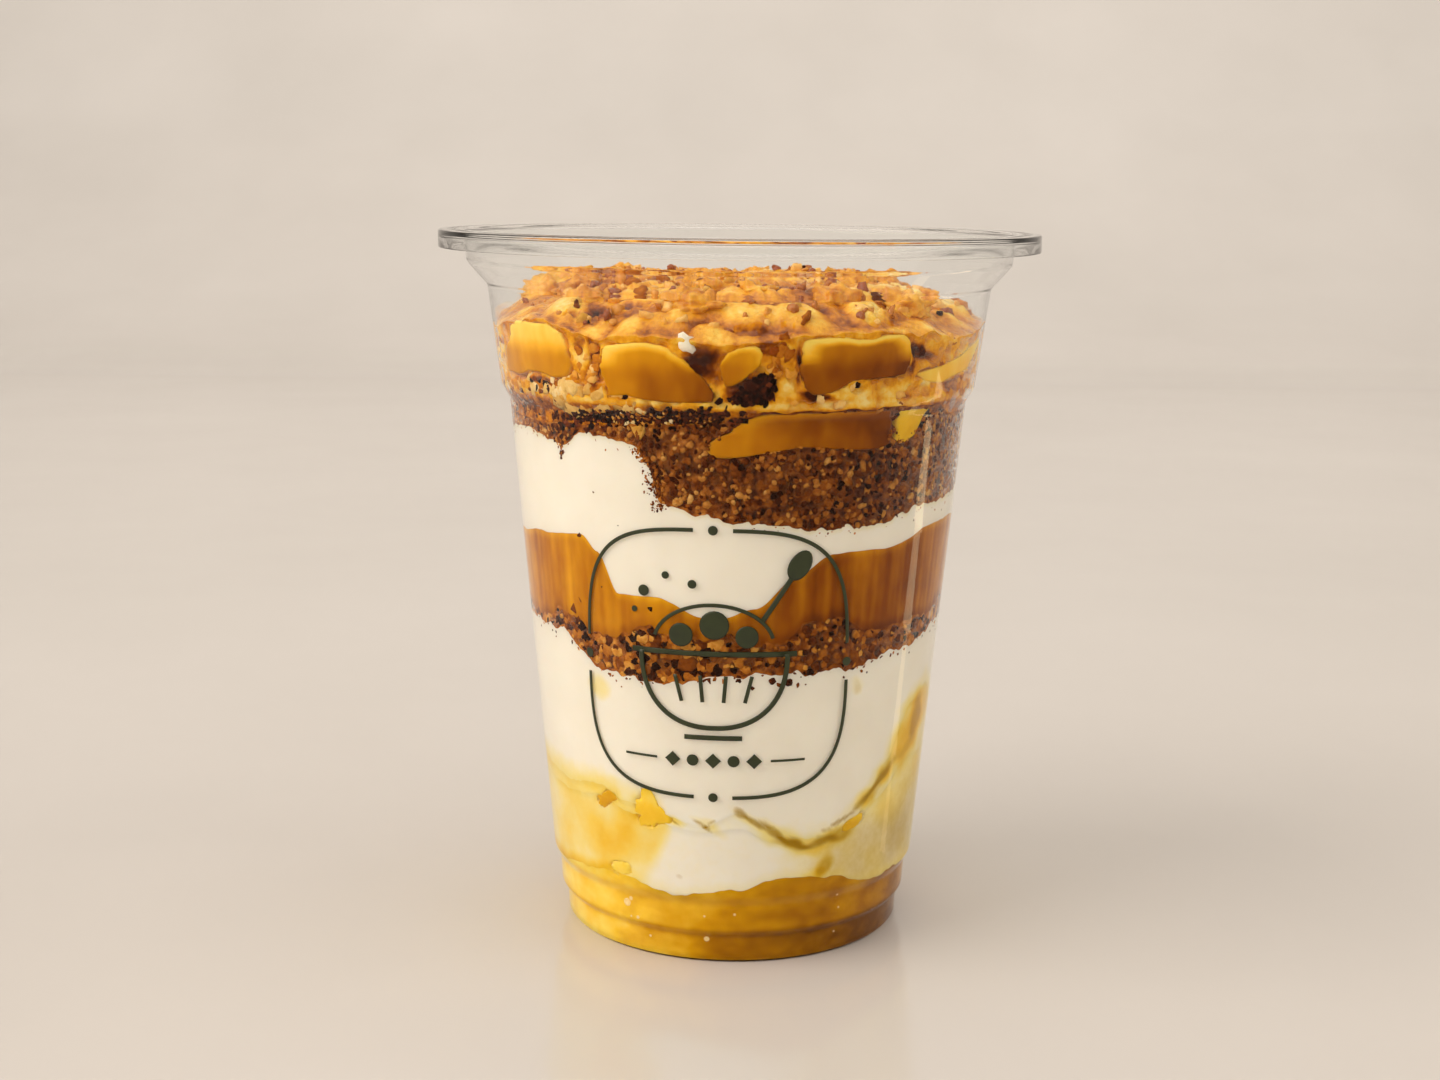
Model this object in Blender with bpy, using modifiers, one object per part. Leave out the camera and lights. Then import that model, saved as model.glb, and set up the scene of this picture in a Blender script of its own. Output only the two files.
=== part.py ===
"""Yogurt parfait: a clear plastic cup filled with fruit, yogurt, granola and caramel in layers.

The origin is the middle of the base's underside, +Z is up, and the photographed side faces -Y.
Angles round the cup are in degrees from the front, positive towards +X.
"""
import math
import random

import bmesh
import bpy

MM = 0.001
SEGMENTS = 48
GAP = 0.3
POCKET = 0.4
POCKET_REACH = 1.6
LEDGE_REACH = 36.9
PIECE_RINGS = 6

# The cup, in millimetres: radius and height of the main corners of its outer side.
WALL = 0.5
FLANGE = 0.6
FLOOR = 0.6
HEIGHT = 115.5
RIM_RADIUS = 49.0
MOUTH_RADIUS = 44.9
LIP_DROP = 2.9
COLLAR = ((44.5, 110.4), (41.2, 106.7))
STACKING_LEDGE = ((39.1, 90.8), (37.7, 88.4))
LOWER_LEDGE = ((30.75, 11.9), (29.75, 10.2))
FOOT_LEDGE = ((29.5, 5.5), (28.5, 4.7))
FOOT_RADIUS = 28.3
FOOT_EDGE = 0.5
RECESS_RADIUS = 24.4
RECESS_DEPTH = 1.0

# The levels between the layers, in millimetres: where each meets the wall, as angle and height.
PUREE_TOP = (
    (-150, 12.0), (-120, 14.0), (-90, 12.3), (-70, 12.0), (-50, 13.2), (-38, 14.0), (-15, 11.8),
    (0, 13.2), (15, 15.2), (30, 14.3), (45, 12.0), (75, 11.8), (105, 12.4), (130, 14.5), (160, 12.6),
)
SEAM_BOTTOM = (
    (-150, 22.0), (-120, 26.0), (-90, 27.0), (-70, 26.0), (-55, 25.5), (-42, 26.3), (-30, 24.6),
    (-8, 22.8), (2, 23.6), (12, 21.4), (20, 19.8), (30, 19.7), (38, 21.4), (46, 25.6), (60, 31.0),
    (78, 31.0), (100, 28.0), (130, 24.0), (160, 21.8),
)
SEAM_TOP = (
    (-150, 24.4), (-120, 28.6), (-90, 29.6), (-70, 28.2), (-55, 27.4), (-42, 28.4), (-30, 26.4),
    (-8, 24.2), (2, 26.2), (12, 23.2), (20, 21.4), (30, 21.6), (38, 24.0), (46, 29.0), (60, 40.5),
    (70, 42.5), (85, 37.0), (105, 31.0), (130, 26.6), (160, 24.2),
)
GRANOLA_BOTTOM = (
    (-150, 49.0), (-120, 51.0), (-90, 52.4), (-62, 53.2), (-52, 52.8), (-45, 49.8), (-37, 48.0),
    (-20, 47.2), (-5, 48.8), (15, 49.2), (27, 49.0), (50, 50.8), (70, 53.0), (90, 53.0),
    (120, 49.5), (155, 51.0),
)
CARAMEL_BOTTOM = (
    (-150, 54.0), (-120, 56.0), (-90, 54.6), (-62, 54.8), (-48, 56.3), (-40, 54.4), (-33, 53.5),
    (-25, 56.0), (-8, 55.2), (10, 53.6), (20, 57.0), (26, 58.2), (38, 54.8), (58, 54.9),
    (80, 56.8), (105, 56.5), (130, 54.2), (158, 57.0),
)
CARAMEL_TOP = (
    (-150, 67.5), (-120, 69.0), (-98, 66.0), (-75, 67.2), (-60, 68.6), (-42, 69.5), (-37, 67.4),
    (-31, 61.0), (-20, 60.9), (-5, 57.8), (5, 59.6), (16, 65.0), (25, 68.0), (42, 68.0),
    (60, 70.4), (75, 70.6), (98, 66.0), (130, 61.8), (158, 61.0),
)
CRUMB_BOTTOM = (
    (-150, 83.5), (-120, 80.5), (-98, 83.6), (-60, 84.9), (-47, 83.4), (-40, 85.6), (-29, 85.2),
    (-24.5, 84.0), (-21, 81.4), (-18.6, 75.8), (-10, 74.2), (0, 73.2), (20, 72.0), (37, 71.8),
    (52, 73.8), (80, 74.6), (110, 79.5), (130, 78.0), (158, 79.5),
)
CRUMB_TOP = (
    (-150, 87.4), (-120, 86.6), (-90, 87.3), (-55, 86.6), (-42, 87.0), (-20, 87.8), (-8, 88.0),
    (0, 89.4), (8, 90.2), (40, 90.3), (52, 90.0), (66, 87.8), (90, 87.6), (130, 87.0), (160, 87.6),
)
TOPPING_EDGE = (
    (-150, 100.5), (-110, 101.8), (-75, 100.4), (-50, 102.4), (-35, 100.6), (-20, 101.0),
    (0, 100.2), (20, 101.8), (40, 101.4), (60, 100.0), (80, 101.6), (120, 99.8), (160, 101.5),
)
DOME_HEIGHT = 107.8
DOME_POWER = 4.6

# Pieces that show through the wall: name, depth from the wall in millimetres, and the outline on the
# wall as angle and height.
CARAMEL_PIECES = (
    ("caramel_left", 6.0, (
        (-68, 93.6), (-68, 97.0), (-63.6, 98.8), (-62.6, 100.8), (-59, 102.0), (-52, 102.3),
        (-45.5, 102.2), (-42.4, 101.0), (-40.6, 98.6), (-38.8, 95.6), (-40, 94.2), (-45, 93.8),
        (-50, 94.4), (-56, 94.2), (-62, 93.2),
    )),
    ("caramel_front", 5.5, (
        (-31.2, 94.8), (-31.4, 97.4), (-30.2, 99.2), (-26, 99.9), (-19.5, 100.3), (-15.8, 99.9),
        (-12.6, 98.4), (-9, 96.1), (-6, 94.1), (-4.6, 92.6), (-5.4, 91.6), (-9, 91.3), (-19.5, 91.4),
        (-26, 92.2), (-30, 91.4),
    )),
    ("caramel_drop", 3.5, (
        (-4, 96.8), (-2.6, 98.8), (0, 99.8), (3.6, 100.1), (5.2, 99.2), (4.9, 97.2), (3, 96.0),
        (0.8, 94.8), (-1.2, 94.0), (-2.6, 94.0), (-3.8, 95.4),
    )),
    ("caramel_block", 6.5, (
        (13.8, 95.0), (13.7, 99.4), (14.6, 101.0), (19.5, 101.3), (30, 100.8), (34.5, 101.5),
        (38.6, 101.4), (40.5, 100.2), (40.8, 97.4), (40.2, 95.4), (37.5, 94.9), (25.5, 94.6),
        (21.8, 93.1), (17.4, 92.6), (14.6, 93.5),
    )),
    ("caramel_streak", 4.0, (
        (42.8, 95.3), (47, 95.6), (52, 96.0), (58, 96.8), (64, 97.6), (68, 98.8), (73, 99.6),
        (74, 98.6), (70, 96.8), (66, 94.7), (60, 94.2), (52, 93.2), (47, 93.8),
    )),
)
CARAMEL_SLAB = ("caramel_slab", 8.0, (
    (-7.3, 83.9), (-7, 85.2), (-3.8, 86.4), (-0.6, 87.6), (2.5, 89.2), (6, 89.9), (20, 90.0),
    (37.2, 90.0), (39.0, 89.3), (39.2, 84.9), (37.6, 83.8), (30, 83.8), (22, 84.3), (15, 84.7),
    (7.5, 83.9), (0, 83.0), (-5.2, 82.8),
))
FRUIT_SLAB = ("fruit_slab", 5.0, (
    (40.6, 84.9), (40.5, 89.7), (51.0, 89.7), (49.6, 87.8), (47.2, 85.4), (43.6, 84.2),
))
CHOCOLATE_CHUNK = ("chocolate_chunk", 4.5, (
    (-0.9, 91.6), (-0.7, 92.8), (1.6, 93.9), (3.6, 95.1), (5.9, 96.2), (7.6, 95.3), (8.2, 94.4),
    (7.1, 92.6), (5.6, 91.5),
))

# Rounded pieces: name, angle, height, half width, half height, depth, tilt and squareness.
CARAMEL_OVALS = (
    ("caramel_back_right", 98.0, 96.6, 8.0, 3.6, 5.5, -8, 2.8),
    ("caramel_back", 152.0, 96.2, 9.0, 3.4, 6.0, 5, 2.6),
    ("caramel_back_left", -112.0, 96.8, 8.4, 3.8, 6.0, 7, 3.0),
)
CHOCOLATE_SEAM = ("chocolate_seam", -21.5, 88.9, 12.0, 0.95, 4.0, 2, 4.0)
MANGO_OVALS = (
    ("mango_left", -39.5, 26.2, 2.6, 1.4, 3.5, 32, 3.0),
    ("mango_low", -35.5, 14.6, 2.4, 1.5, 3.5, 10, 3.0),
    ("mango_right", 38.0, 22.8, 2.7, 1.3, 3.5, 18, 2.6),
    ("mango_back", 140.0, 25.4, 3.2, 2.4, 4.0, -10, 3.2),
    ("mango_side", -97.0, 28.2, 3.0, 2.2, 4.0, 12, 3.0),
)
MANGO_BRIGHT = ("mango_bright", 4.0, (
    (-29.6, 24.4), (-30.2, 27.0), (-27.8, 28.0), (-27.2, 29.6), (-23.6, 29.4), (-21.4, 27.2),
    (-19.0, 25.8), (-16.4, 24.7), (-17.6, 23.6), (-21, 23.2), (-24, 22.4), (-27.6, 22.8),
))
OVAL_POINTS = 24

# Granola pieces on the dome: seeded places, clear of the wall and the caramel pieces.
CRUMBS = 38
CRUMB_SEED = 11
CRUMB_SIZES = (2.3, 3.7)
CRUMB_CEILING = 110.4
CRUMB_FIELD = 33.0

COLOURS = {
    "cup": ((0.93, 0.95, 0.95), 0.05),
    "mango_puree": ((0.80, 0.42, 0.03), 0.25),
    "yogurt": ((0.90, 0.84, 0.72), 0.40),
    "granola": ((0.42, 0.21, 0.08), 0.75),
    "crumb": ((0.28, 0.12, 0.05), 0.85),
    "caramel": ((0.68, 0.30, 0.04), 0.30),
    "mango": ((0.88, 0.52, 0.04), 0.30),
    "chocolate": ((0.07, 0.025, 0.015), 0.40),
    "topping": ((0.62, 0.34, 0.11), 0.55),
}


def clear_scene():
    for item in list(bpy.data.objects):
        bpy.data.objects.remove(item, do_unlink=True)


def new_collection(name):
    group = bpy.data.collections.new(name)
    bpy.context.scene.collection.children.link(group)
    return group


def make_material(name):
    colour, roughness = COLOURS[name]
    material = bpy.data.materials.new(name)
    material.use_nodes = True
    shader = material.node_tree.nodes["Principled BSDF"]
    shader.inputs["Base Color"].default_value = (*colour, 1.0)
    shader.inputs["Roughness"].default_value = roughness
    if name == "cup":
        shader.inputs["Alpha"].default_value = 0.3
    return material


def blend(table, angle):
    """Height of a level at the wall, eased between the table's angles right round the cup."""
    first = table[0][0]
    angle = (angle - first) % 360 + first
    points = list(table) + [(first + 360, table[0][1])]
    for (low, start), (high, end) in zip(points, points[1:]):
        if low <= angle <= high:
            share = (angle - low) / (high - low)
            return start + (end - start) * share * share * (3 - 2 * share)
    return table[0][1]


def mean_height(table):
    return sum(height for _, height in table) / len(table)


def level(table, angle, share):
    """Height of a level at a share of the radius: its waves die out towards the middle."""
    mean = mean_height(table)
    return mean + (blend(table, angle) - mean) * share * share


def inside_profile():
    """Radius and height along the cup's inner side, from the floor to the mouth."""
    floor = RECESS_DEPTH + FLOOR
    corners = [(FOOT_RADIUS - WALL - 0.4, floor), (FOOT_RADIUS - WALL, floor + 0.5)]
    for top, bottom in (FOOT_LEDGE, LOWER_LEDGE, STACKING_LEDGE, COLLAR):
        corners.append((bottom[0] - WALL, bottom[1] + WALL / 3))
        corners.append((top[0] - WALL, top[1] + WALL / 3))
    corners.append((MOUTH_RADIUS - WALL, HEIGHT - 0.9))
    return corners


def outside_profile():
    """Radius and height along the cup's outer side, from under the flange to the base's ring."""
    corners = [(MOUTH_RADIUS, HEIGHT - FLANGE - 0.3)]
    for top, bottom in (COLLAR, STACKING_LEDGE, LOWER_LEDGE, FOOT_LEDGE):
        corners.append(top)
        corners.append(bottom)
    corners.append((FOOT_RADIUS, FOOT_EDGE))
    corners.append((FOOT_RADIUS - FOOT_EDGE, 0))
    corners.append((RECESS_RADIUS + 0.6, 0))
    corners.append((RECESS_RADIUS, RECESS_DEPTH))
    return corners


def rim_profile():
    """Radius and height round the flange, from the mouth over the top to the lip's underside."""
    lip = RIM_RADIUS - FLANGE
    return [
        (MOUTH_RADIUS + 0.3, HEIGHT), (lip, HEIGHT), (RIM_RADIUS, HEIGHT - FLANGE),
        (RIM_RADIUS, HEIGHT - LIP_DROP), (lip, HEIGHT - LIP_DROP), (lip, HEIGHT - FLANGE),
        (MOUTH_RADIUS + 0.5, HEIGHT - FLANGE),
    ]


def inner_radius(height):
    """Radius of the cup's inner side at a height."""
    corners = inside_profile()
    for (low, start), (high, end) in zip(corners, corners[1:]):
        if start <= height <= end and end > start:
            return low + (high - low) * (height - start) / (end - start)
    return corners[0][0] if height < corners[0][1] else corners[-1][0]


def place(angle, radius, height):
    """Point in metres at an angle from the front, a radius and a height in millimetres."""
    turn = math.radians(angle)
    return (radius * math.sin(turn) * MM, -radius * math.cos(turn) * MM, height * MM)


def add_object(name, mesh, group, material=None):
    item = bpy.data.objects.new(name, mesh)
    if material:
        mesh.materials.append(material)
    group.objects.link(item)
    return item


def mesh_from(bm, name):
    bmesh.ops.recalc_face_normals(bm, faces=bm.faces)
    if bm.calc_volume(signed=True) < 0:
        bmesh.ops.reverse_faces(bm, faces=bm.faces)
    mesh = bpy.data.meshes.new(name)
    bm.to_mesh(mesh)
    bm.free()
    mesh.shade_smooth()
    mesh.set_sharp_from_angle(angle=math.radians(40))
    return mesh


def make_cup(group, material):
    """The cup: its profile turned about the axis, floor, inner side, flange, outer side, base."""
    corners = [(0, RECESS_DEPTH + FLOOR)] + inside_profile() + rim_profile()
    corners += outside_profile() + [(0, RECESS_DEPTH)]
    mesh = bpy.data.meshes.new("cup")
    points = [(radius * MM, 0, height * MM) for radius, height in corners]
    edges = [(index, index + 1) for index in range(len(points) - 1)]
    mesh.from_pydata(points, edges, [])
    cup = add_object("cup", mesh, group, material)
    turn = cup.modifiers.new("turn", "SCREW")
    turn.axis = "Z"
    turn.angle = math.tau
    turn.steps = SEGMENTS
    turn.render_steps = SEGMENTS
    turn.use_merge_vertices = True
    turn.merge_threshold = 0.00001
    turn.use_smooth_shade = True
    return cup


def dome_height(angle, share):
    """Height of the topping's bare surface."""
    edge = blend(TOPPING_EDGE, angle)
    swell = 0.7 * math.sin(math.radians(3 * angle + 40)) * math.sin(math.pi * share)
    return DOME_HEIGHT + (edge - DOME_HEIGHT) * share ** DOME_POWER + swell


def split_alike(bm, labels):
    """Splits each four-sided face from its inner corner to the next outer one.

    Two layers that meet are split alike, so the gap between them stays even.
    """
    for face in [face for face in bm.faces if len(face.verts) == 4]:
        corners = sorted(face.verts, key=lambda vert: labels[vert][0])
        pairs = []
        for pair in (corners[:2], corners[2:]):
            turn = (labels[pair[1]][1] - labels[pair[0]][1] + 180) % 360 - 180
            pairs.append(pair if turn > 0 else pair[::-1])
        bmesh.utils.face_split(face, pairs[0][0], pairs[1][1])


def make_layer(name, group, material, bottom, top, wall_heights=(), discs=(0.7,), dome=False):
    """One layer that fills the cup between two levels, with its side along the wall.

    A sphere's rings are moved on to the top surface, the wall and the bottom surface in turn.
    """
    def top_at(angle, share):
        return dome_height(angle, share) if dome else level(top, angle, share)

    def bottom_at(angle, share):
        return (level(bottom, angle, share) if bottom else RECESS_DEPTH + FLOOR) + GAP

    rings = [("top", share) for share in sorted(discs)] + [("top", 1.0)]
    rings += [("wall", height) for height in sorted(wall_heights, reverse=True)]
    rings += [("bottom", 1.0), ("bottom", discs[-1])]
    last = len(rings) + 1
    bm = bmesh.new()
    bmesh.ops.create_uvsphere(bm, u_segments=SEGMENTS, v_segments=last, radius=1.0)
    labels = {}
    for vert in bm.verts:
        index = round(math.acos(max(-1.0, min(1.0, vert.co.z))) * last / math.pi)
        angle = math.degrees(math.atan2(vert.co.x, -vert.co.y))
        if index in (0, last):
            vert.co = place(0, 0, bottom_at(0, 0) if index else top_at(0, 0))
            continue
        kind, value = rings[index - 1]
        if kind == "wall":
            value = max(bottom_at(angle, 1.0) + 0.2, min(value, top_at(angle, 1.0) - 0.2))
            vert.co = place(angle, inner_radius(value) - GAP, value)
        elif kind == "top":
            edge = inner_radius(top_at(angle, 1.0)) - GAP
            vert.co = place(angle, edge * value, top_at(angle, value))
        else:
            edge = inner_radius(bottom_at(angle, 1.0) - GAP) - GAP
            vert.co = place(angle, edge * value, bottom_at(angle, value))
        labels[vert] = ((last - index, 1) if kind == "bottom" else (index, 0), angle)
    split_alike(bm, labels)
    return add_object(name, mesh_from(bm, name), group, material)


def oval(spec):
    """A rounded piece's depth and outline from its size, tilt and squareness."""
    name, angle, height, half_width, half_height, depth, tilt, square = spec
    turn = math.radians(tilt)
    wall = inner_radius(height)
    outline = []
    for index in range(OVAL_POINTS):
        way = math.tau * index / OVAL_POINTS
        size = (abs(math.cos(way)) ** square + abs(math.sin(way)) ** square) ** (-1 / square)
        wide = math.cos(way) * size * half_width
        tall = math.sin(way) * size * half_height
        along = wide * math.cos(turn) - tall * math.sin(turn)
        rise = wide * math.sin(turn) + tall * math.cos(turn)
        outline.append((angle + math.degrees(along / wall), height + rise))
    return name, depth, tuple(outline)


def frame_of(outline):
    """Middle angle and height of an outline, with half its width and height in millimetres."""
    angles = [angle for angle, _ in outline]
    heights = [height for _, height in outline]
    middle = (min(heights) + max(heights)) / 2
    half_width = math.radians(max(angles) - min(angles)) / 2 * inner_radius(middle)
    return (min(angles) + max(angles)) / 2, middle, half_width, (max(heights) - min(heights)) / 2


def outline_reach(outline, across, up):
    """How far the outline is from its middle in a direction, in halves of its width and height."""
    angle, height, half_width, half_height = frame_of(outline)
    scale = math.radians(1) * inner_radius(height) / half_width
    points = [((a - angle) * scale, (h - height) / half_height) for a, h in outline]
    reach = 0.0
    for (x, y), (next_x, next_y) in zip(points, points[1:] + points[:1]):
        run, climb = next_x - x, next_y - y
        turn = across * climb - up * run
        if abs(turn) < 1e-9:
            continue
        out = (x * climb - y * run) / turn
        share = (x * up - y * across) / turn
        if out > reach and -1e-6 <= share <= 1 + 1e-6:
            reach = out
    return reach


def make_piece(spec, group, material, grow=0.0, reach=None, sides=14):
    """A piece that lies with a flat face along the wall.

    The pole of a sphere points at the wall: its outer half is flattened on to the wall, its inner
    half is stretched to the depth. Grown by a margin and pushed out, it is the pocket's cutter.
    """
    name, depth, outline = spec
    angle, height, half_width, half_height = frame_of(outline)
    middle = inner_radius(height)
    cutter = grow > 0
    bm = bmesh.new()
    bmesh.ops.create_uvsphere(bm, u_segments=sides, v_segments=PIECE_RINGS, radius=1.0)
    first_ring = math.cos(math.pi / PIECE_RINGS)
    for vert in bm.verts:
        across, up, out = vert.co
        spread = math.hypot(across, up)
        if spread > 0.001:
            size = outline_reach(outline, across / spread, up / spread)
            across *= size * half_width
            up *= size * half_height
            wider = 1 + grow * spread / math.hypot(across, up)
            if cutter and out > 0.01:
                wider /= first_ring
            across *= wider
            up *= wider
        wall = min(inner_radius(height + up) - GAP, reach or RIM_RADIUS)
        if out > 0.01:
            radius = wall + (POCKET_REACH if cutter else 0.0)
        elif out > -0.01:
            radius = wall
        else:
            radius = wall + out * (depth + grow)
        vert.co = place(angle + math.degrees(across / middle), radius, height + up)
    return add_object(name, mesh_from(bm, name), group, material)


def cut_pocket(layer, spec, cutters, reach=None, sides=14):
    """Cuts a pocket for a piece out of a layer, with a gap all round the piece."""
    name = "pocket_" + spec[0]
    cutter = cutters.objects.get(name)
    if cutter is None:
        cutter = make_piece((name,) + spec[1:], cutters, None, POCKET, reach, sides)
        cutter.hide_render = True
        cutter.display_type = "WIRE"
    cut = layer.modifiers.new(name, "BOOLEAN")
    cut.operation = "DIFFERENCE"
    cut.object = cutter


def crosses(bottom, top, spec):
    """True where a piece reaches into the layer between two levels."""
    for angle, height in spec[2]:
        if height < blend(top, angle) and height > (blend(bottom, angle) if bottom else 0):
            return True
    return False


def near_piece(angle, radius, size):
    """True where a granola piece of this size would touch a caramel or chocolate piece."""
    for spec in CARAMEL_PIECES + tuple(oval(spec) for spec in CARAMEL_OVALS) + (CHOCOLATE_CHUNK,):
        middle, height, half_width, _ = frame_of(spec[2])
        turn = (angle - middle + 180) % 360 - 180
        along = abs(math.radians(turn)) * radius
        if along < half_width + size and radius + size > inner_radius(height) - spec[1] - GAP:
            return True
    return False


def granola_places():
    """Seeded places on the dome for the granola pieces, spread evenly from the middle out."""
    draw = random.Random(CRUMB_SEED)
    turn = 180 * (3 - math.sqrt(5))
    places = []
    for index in range(CRUMBS):
        size = draw.uniform(*CRUMB_SIZES)
        radius = CRUMB_FIELD * math.sqrt((index + 0.5) / CRUMBS)
        angle = (index * turn + draw.uniform(-9, 9)) % 360
        height = dome_height(angle, radius / inner_radius(101)) + size * draw.uniform(0.0, 0.3)
        height = min(height, CRUMB_CEILING - size)
        if not near_piece(angle, radius, size):
            places.append((angle, radius, height, size, draw.random()))
    return places


def fuse_granola(topping, group):
    """Fuses the granola pieces that show on top to the topping by one union."""
    heap = new_collection("granola_pieces")
    for index, (angle, radius, height, size, twist) in enumerate(granola_places()):
        bm = bmesh.new()
        bmesh.ops.create_icosphere(bm, subdivisions=1, radius=size * MM)
        turn = math.tau * twist
        for vert in bm.verts:
            x, y, z = vert.co
            x, y = x * math.cos(turn) - y * math.sin(turn), x * math.sin(turn) + y * math.cos(turn)
            vert.co = (x * (1.0 + 0.35 * twist), y, z * (0.75 + 0.25 * twist))
        bmesh.ops.translate(bm, verts=bm.verts, vec=place(angle, radius, height))
        add_object("granola_%02d" % index, mesh_from(bm, "granola"), heap)
    join = topping.modifiers.new("join", "BOOLEAN")
    join.operation = "UNION"
    join.operand_type = "COLLECTION"
    join.collection = heap
    depsgraph = bpy.context.evaluated_depsgraph_get()
    fused = bpy.data.meshes.new_from_object(topping.evaluated_get(depsgraph))
    topping.modifiers.remove(join)
    for item in list(heap.objects):
        bpy.data.objects.remove(item, do_unlink=True)
    bpy.data.collections.remove(heap)
    topping.data = fused
    return topping


def main():
    clear_scene()
    group = new_collection("yogurt_parfait")
    cutters = new_collection("pockets")
    paint = {name: make_material(name) for name in COLOURS}

    make_cup(group, paint["cup"])
    puree = make_layer("mango_puree", group, paint["mango_puree"], None, PUREE_TOP,
                       wall_heights=(FOOT_LEDGE[1][1], FOOT_LEDGE[0][1], LOWER_LEDGE[1][1]))
    yogurt_bottom = make_layer("yogurt_bottom", group, paint["yogurt"], PUREE_TOP, SEAM_BOTTOM)
    seam = make_layer("mango_seam", group, paint["mango"], SEAM_BOTTOM, SEAM_TOP)
    yogurt_middle = make_layer("yogurt_middle", group, paint["yogurt"], SEAM_TOP, GRANOLA_BOTTOM)
    make_layer("granola_lower", group, paint["granola"], GRANOLA_BOTTOM, CARAMEL_BOTTOM)
    make_layer("caramel_lower", group, paint["caramel"], CARAMEL_BOTTOM, CARAMEL_TOP)
    make_layer("yogurt_upper", group, paint["yogurt"], CARAMEL_TOP, CRUMB_BOTTOM)
    crumb = make_layer("crumb_upper", group, paint["crumb"], CRUMB_BOTTOM, CRUMB_TOP,
                       wall_heights=(STACKING_LEDGE[1][1],))
    topping = make_layer("topping", group, paint["topping"], CRUMB_TOP, None, dome=True,
                         wall_heights=(STACKING_LEDGE[1][1] + 0.2, STACKING_LEDGE[0][1] + 0.3, 96.0),
                         discs=(0.35, 0.65, 0.87))
    fuse_granola(topping, group)

    for spec in CARAMEL_PIECES + tuple(oval(spec) for spec in CARAMEL_OVALS):
        make_piece(spec, group, paint["caramel"])
        cut_pocket(topping, spec, cutters)
    make_piece(CHOCOLATE_CHUNK, group, paint["chocolate"])
    cut_pocket(topping, CHOCOLATE_CHUNK, cutters)
    seam_piece = oval(CHOCOLATE_SEAM)
    make_piece(seam_piece, group, paint["chocolate"], reach=LEDGE_REACH)
    for layer in (topping, crumb):
        cut_pocket(layer, seam_piece, cutters, reach=LEDGE_REACH)
    for spec, name in ((CARAMEL_SLAB, "caramel"), (FRUIT_SLAB, "mango")):
        make_piece(spec, group, paint[name], reach=LEDGE_REACH, sides=18)
        cut_pocket(crumb, spec, cutters, reach=LEDGE_REACH, sides=18)
    for piece in tuple(oval(spec) for spec in MANGO_OVALS) + (MANGO_BRIGHT,):
        make_piece(piece, group, paint["mango"], sides=10)
        for layer, bottom, top in (
            (puree, None, PUREE_TOP), (yogurt_bottom, PUREE_TOP, SEAM_BOTTOM),
            (seam, SEAM_BOTTOM, SEAM_TOP), (yogurt_middle, SEAM_TOP, GRANOLA_BOTTOM),
        ):
            if crosses(bottom, top, piece):
                cut_pocket(layer, piece, cutters, sides=10)


main()
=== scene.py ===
"""Looks of the yogurt parfait: the clear cup, its print, the layers and pieces in it, and the studio.

Lengths are in millimetres and become metres where a mesh is made. Angles round the cup are in
degrees from the front, positive towards +X.
"""

import math
import random

import bmesh
import bpy
import numpy as np
from mathutils import Euler, Matrix, Vector, noise


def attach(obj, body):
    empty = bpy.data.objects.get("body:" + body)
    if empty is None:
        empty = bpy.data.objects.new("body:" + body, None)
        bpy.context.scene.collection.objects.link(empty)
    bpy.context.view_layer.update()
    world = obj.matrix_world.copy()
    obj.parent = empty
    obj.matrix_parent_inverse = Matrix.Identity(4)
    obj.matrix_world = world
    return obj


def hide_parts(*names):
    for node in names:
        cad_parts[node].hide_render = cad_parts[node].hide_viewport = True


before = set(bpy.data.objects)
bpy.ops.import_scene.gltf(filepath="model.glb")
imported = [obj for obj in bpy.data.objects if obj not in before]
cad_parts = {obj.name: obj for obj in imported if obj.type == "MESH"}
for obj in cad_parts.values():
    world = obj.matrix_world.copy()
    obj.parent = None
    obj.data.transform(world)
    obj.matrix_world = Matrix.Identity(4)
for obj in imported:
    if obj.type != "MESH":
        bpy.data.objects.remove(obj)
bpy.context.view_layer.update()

MM = 0.001

# The cup's main corners, as the part has them: radius and height.
WALL = 0.5
FLANGE = 0.6
FLOOR = 0.6
HEIGHT = 115.5
RIM_RADIUS = 49.0
MOUTH_RADIUS = 44.9
LIP_DROP = 2.9
COLLAR = ((44.5, 110.4), (41.2, 106.7))
STACKING_LEDGE = ((39.1, 90.8), (37.7, 88.4))
LOWER_LEDGE = ((30.75, 11.9), (29.75, 10.2))
FOOT_LEDGE = ((29.5, 5.5), (28.5, 4.7))
FOOT_RADIUS = 28.3
FOOT_EDGE = 0.5
RECESS_RADIUS = 24.4
RECESS_DEPTH = 1.0
FLOOR_TOP = RECESS_DEPTH + FLOOR
RING_START = RECESS_RADIUS + 0.2
RING_FLOOR = 0.6
CUP_SEGMENTS = 180
CORNER = 0.45
CORNER_STEPS = 4

# How far the filling reaches into the wall, so that no air gap shows, and how much further what lies on
# a layer's side reaches, so that it shows.
REACH = 0.15
PROUD = 0.14

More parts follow.
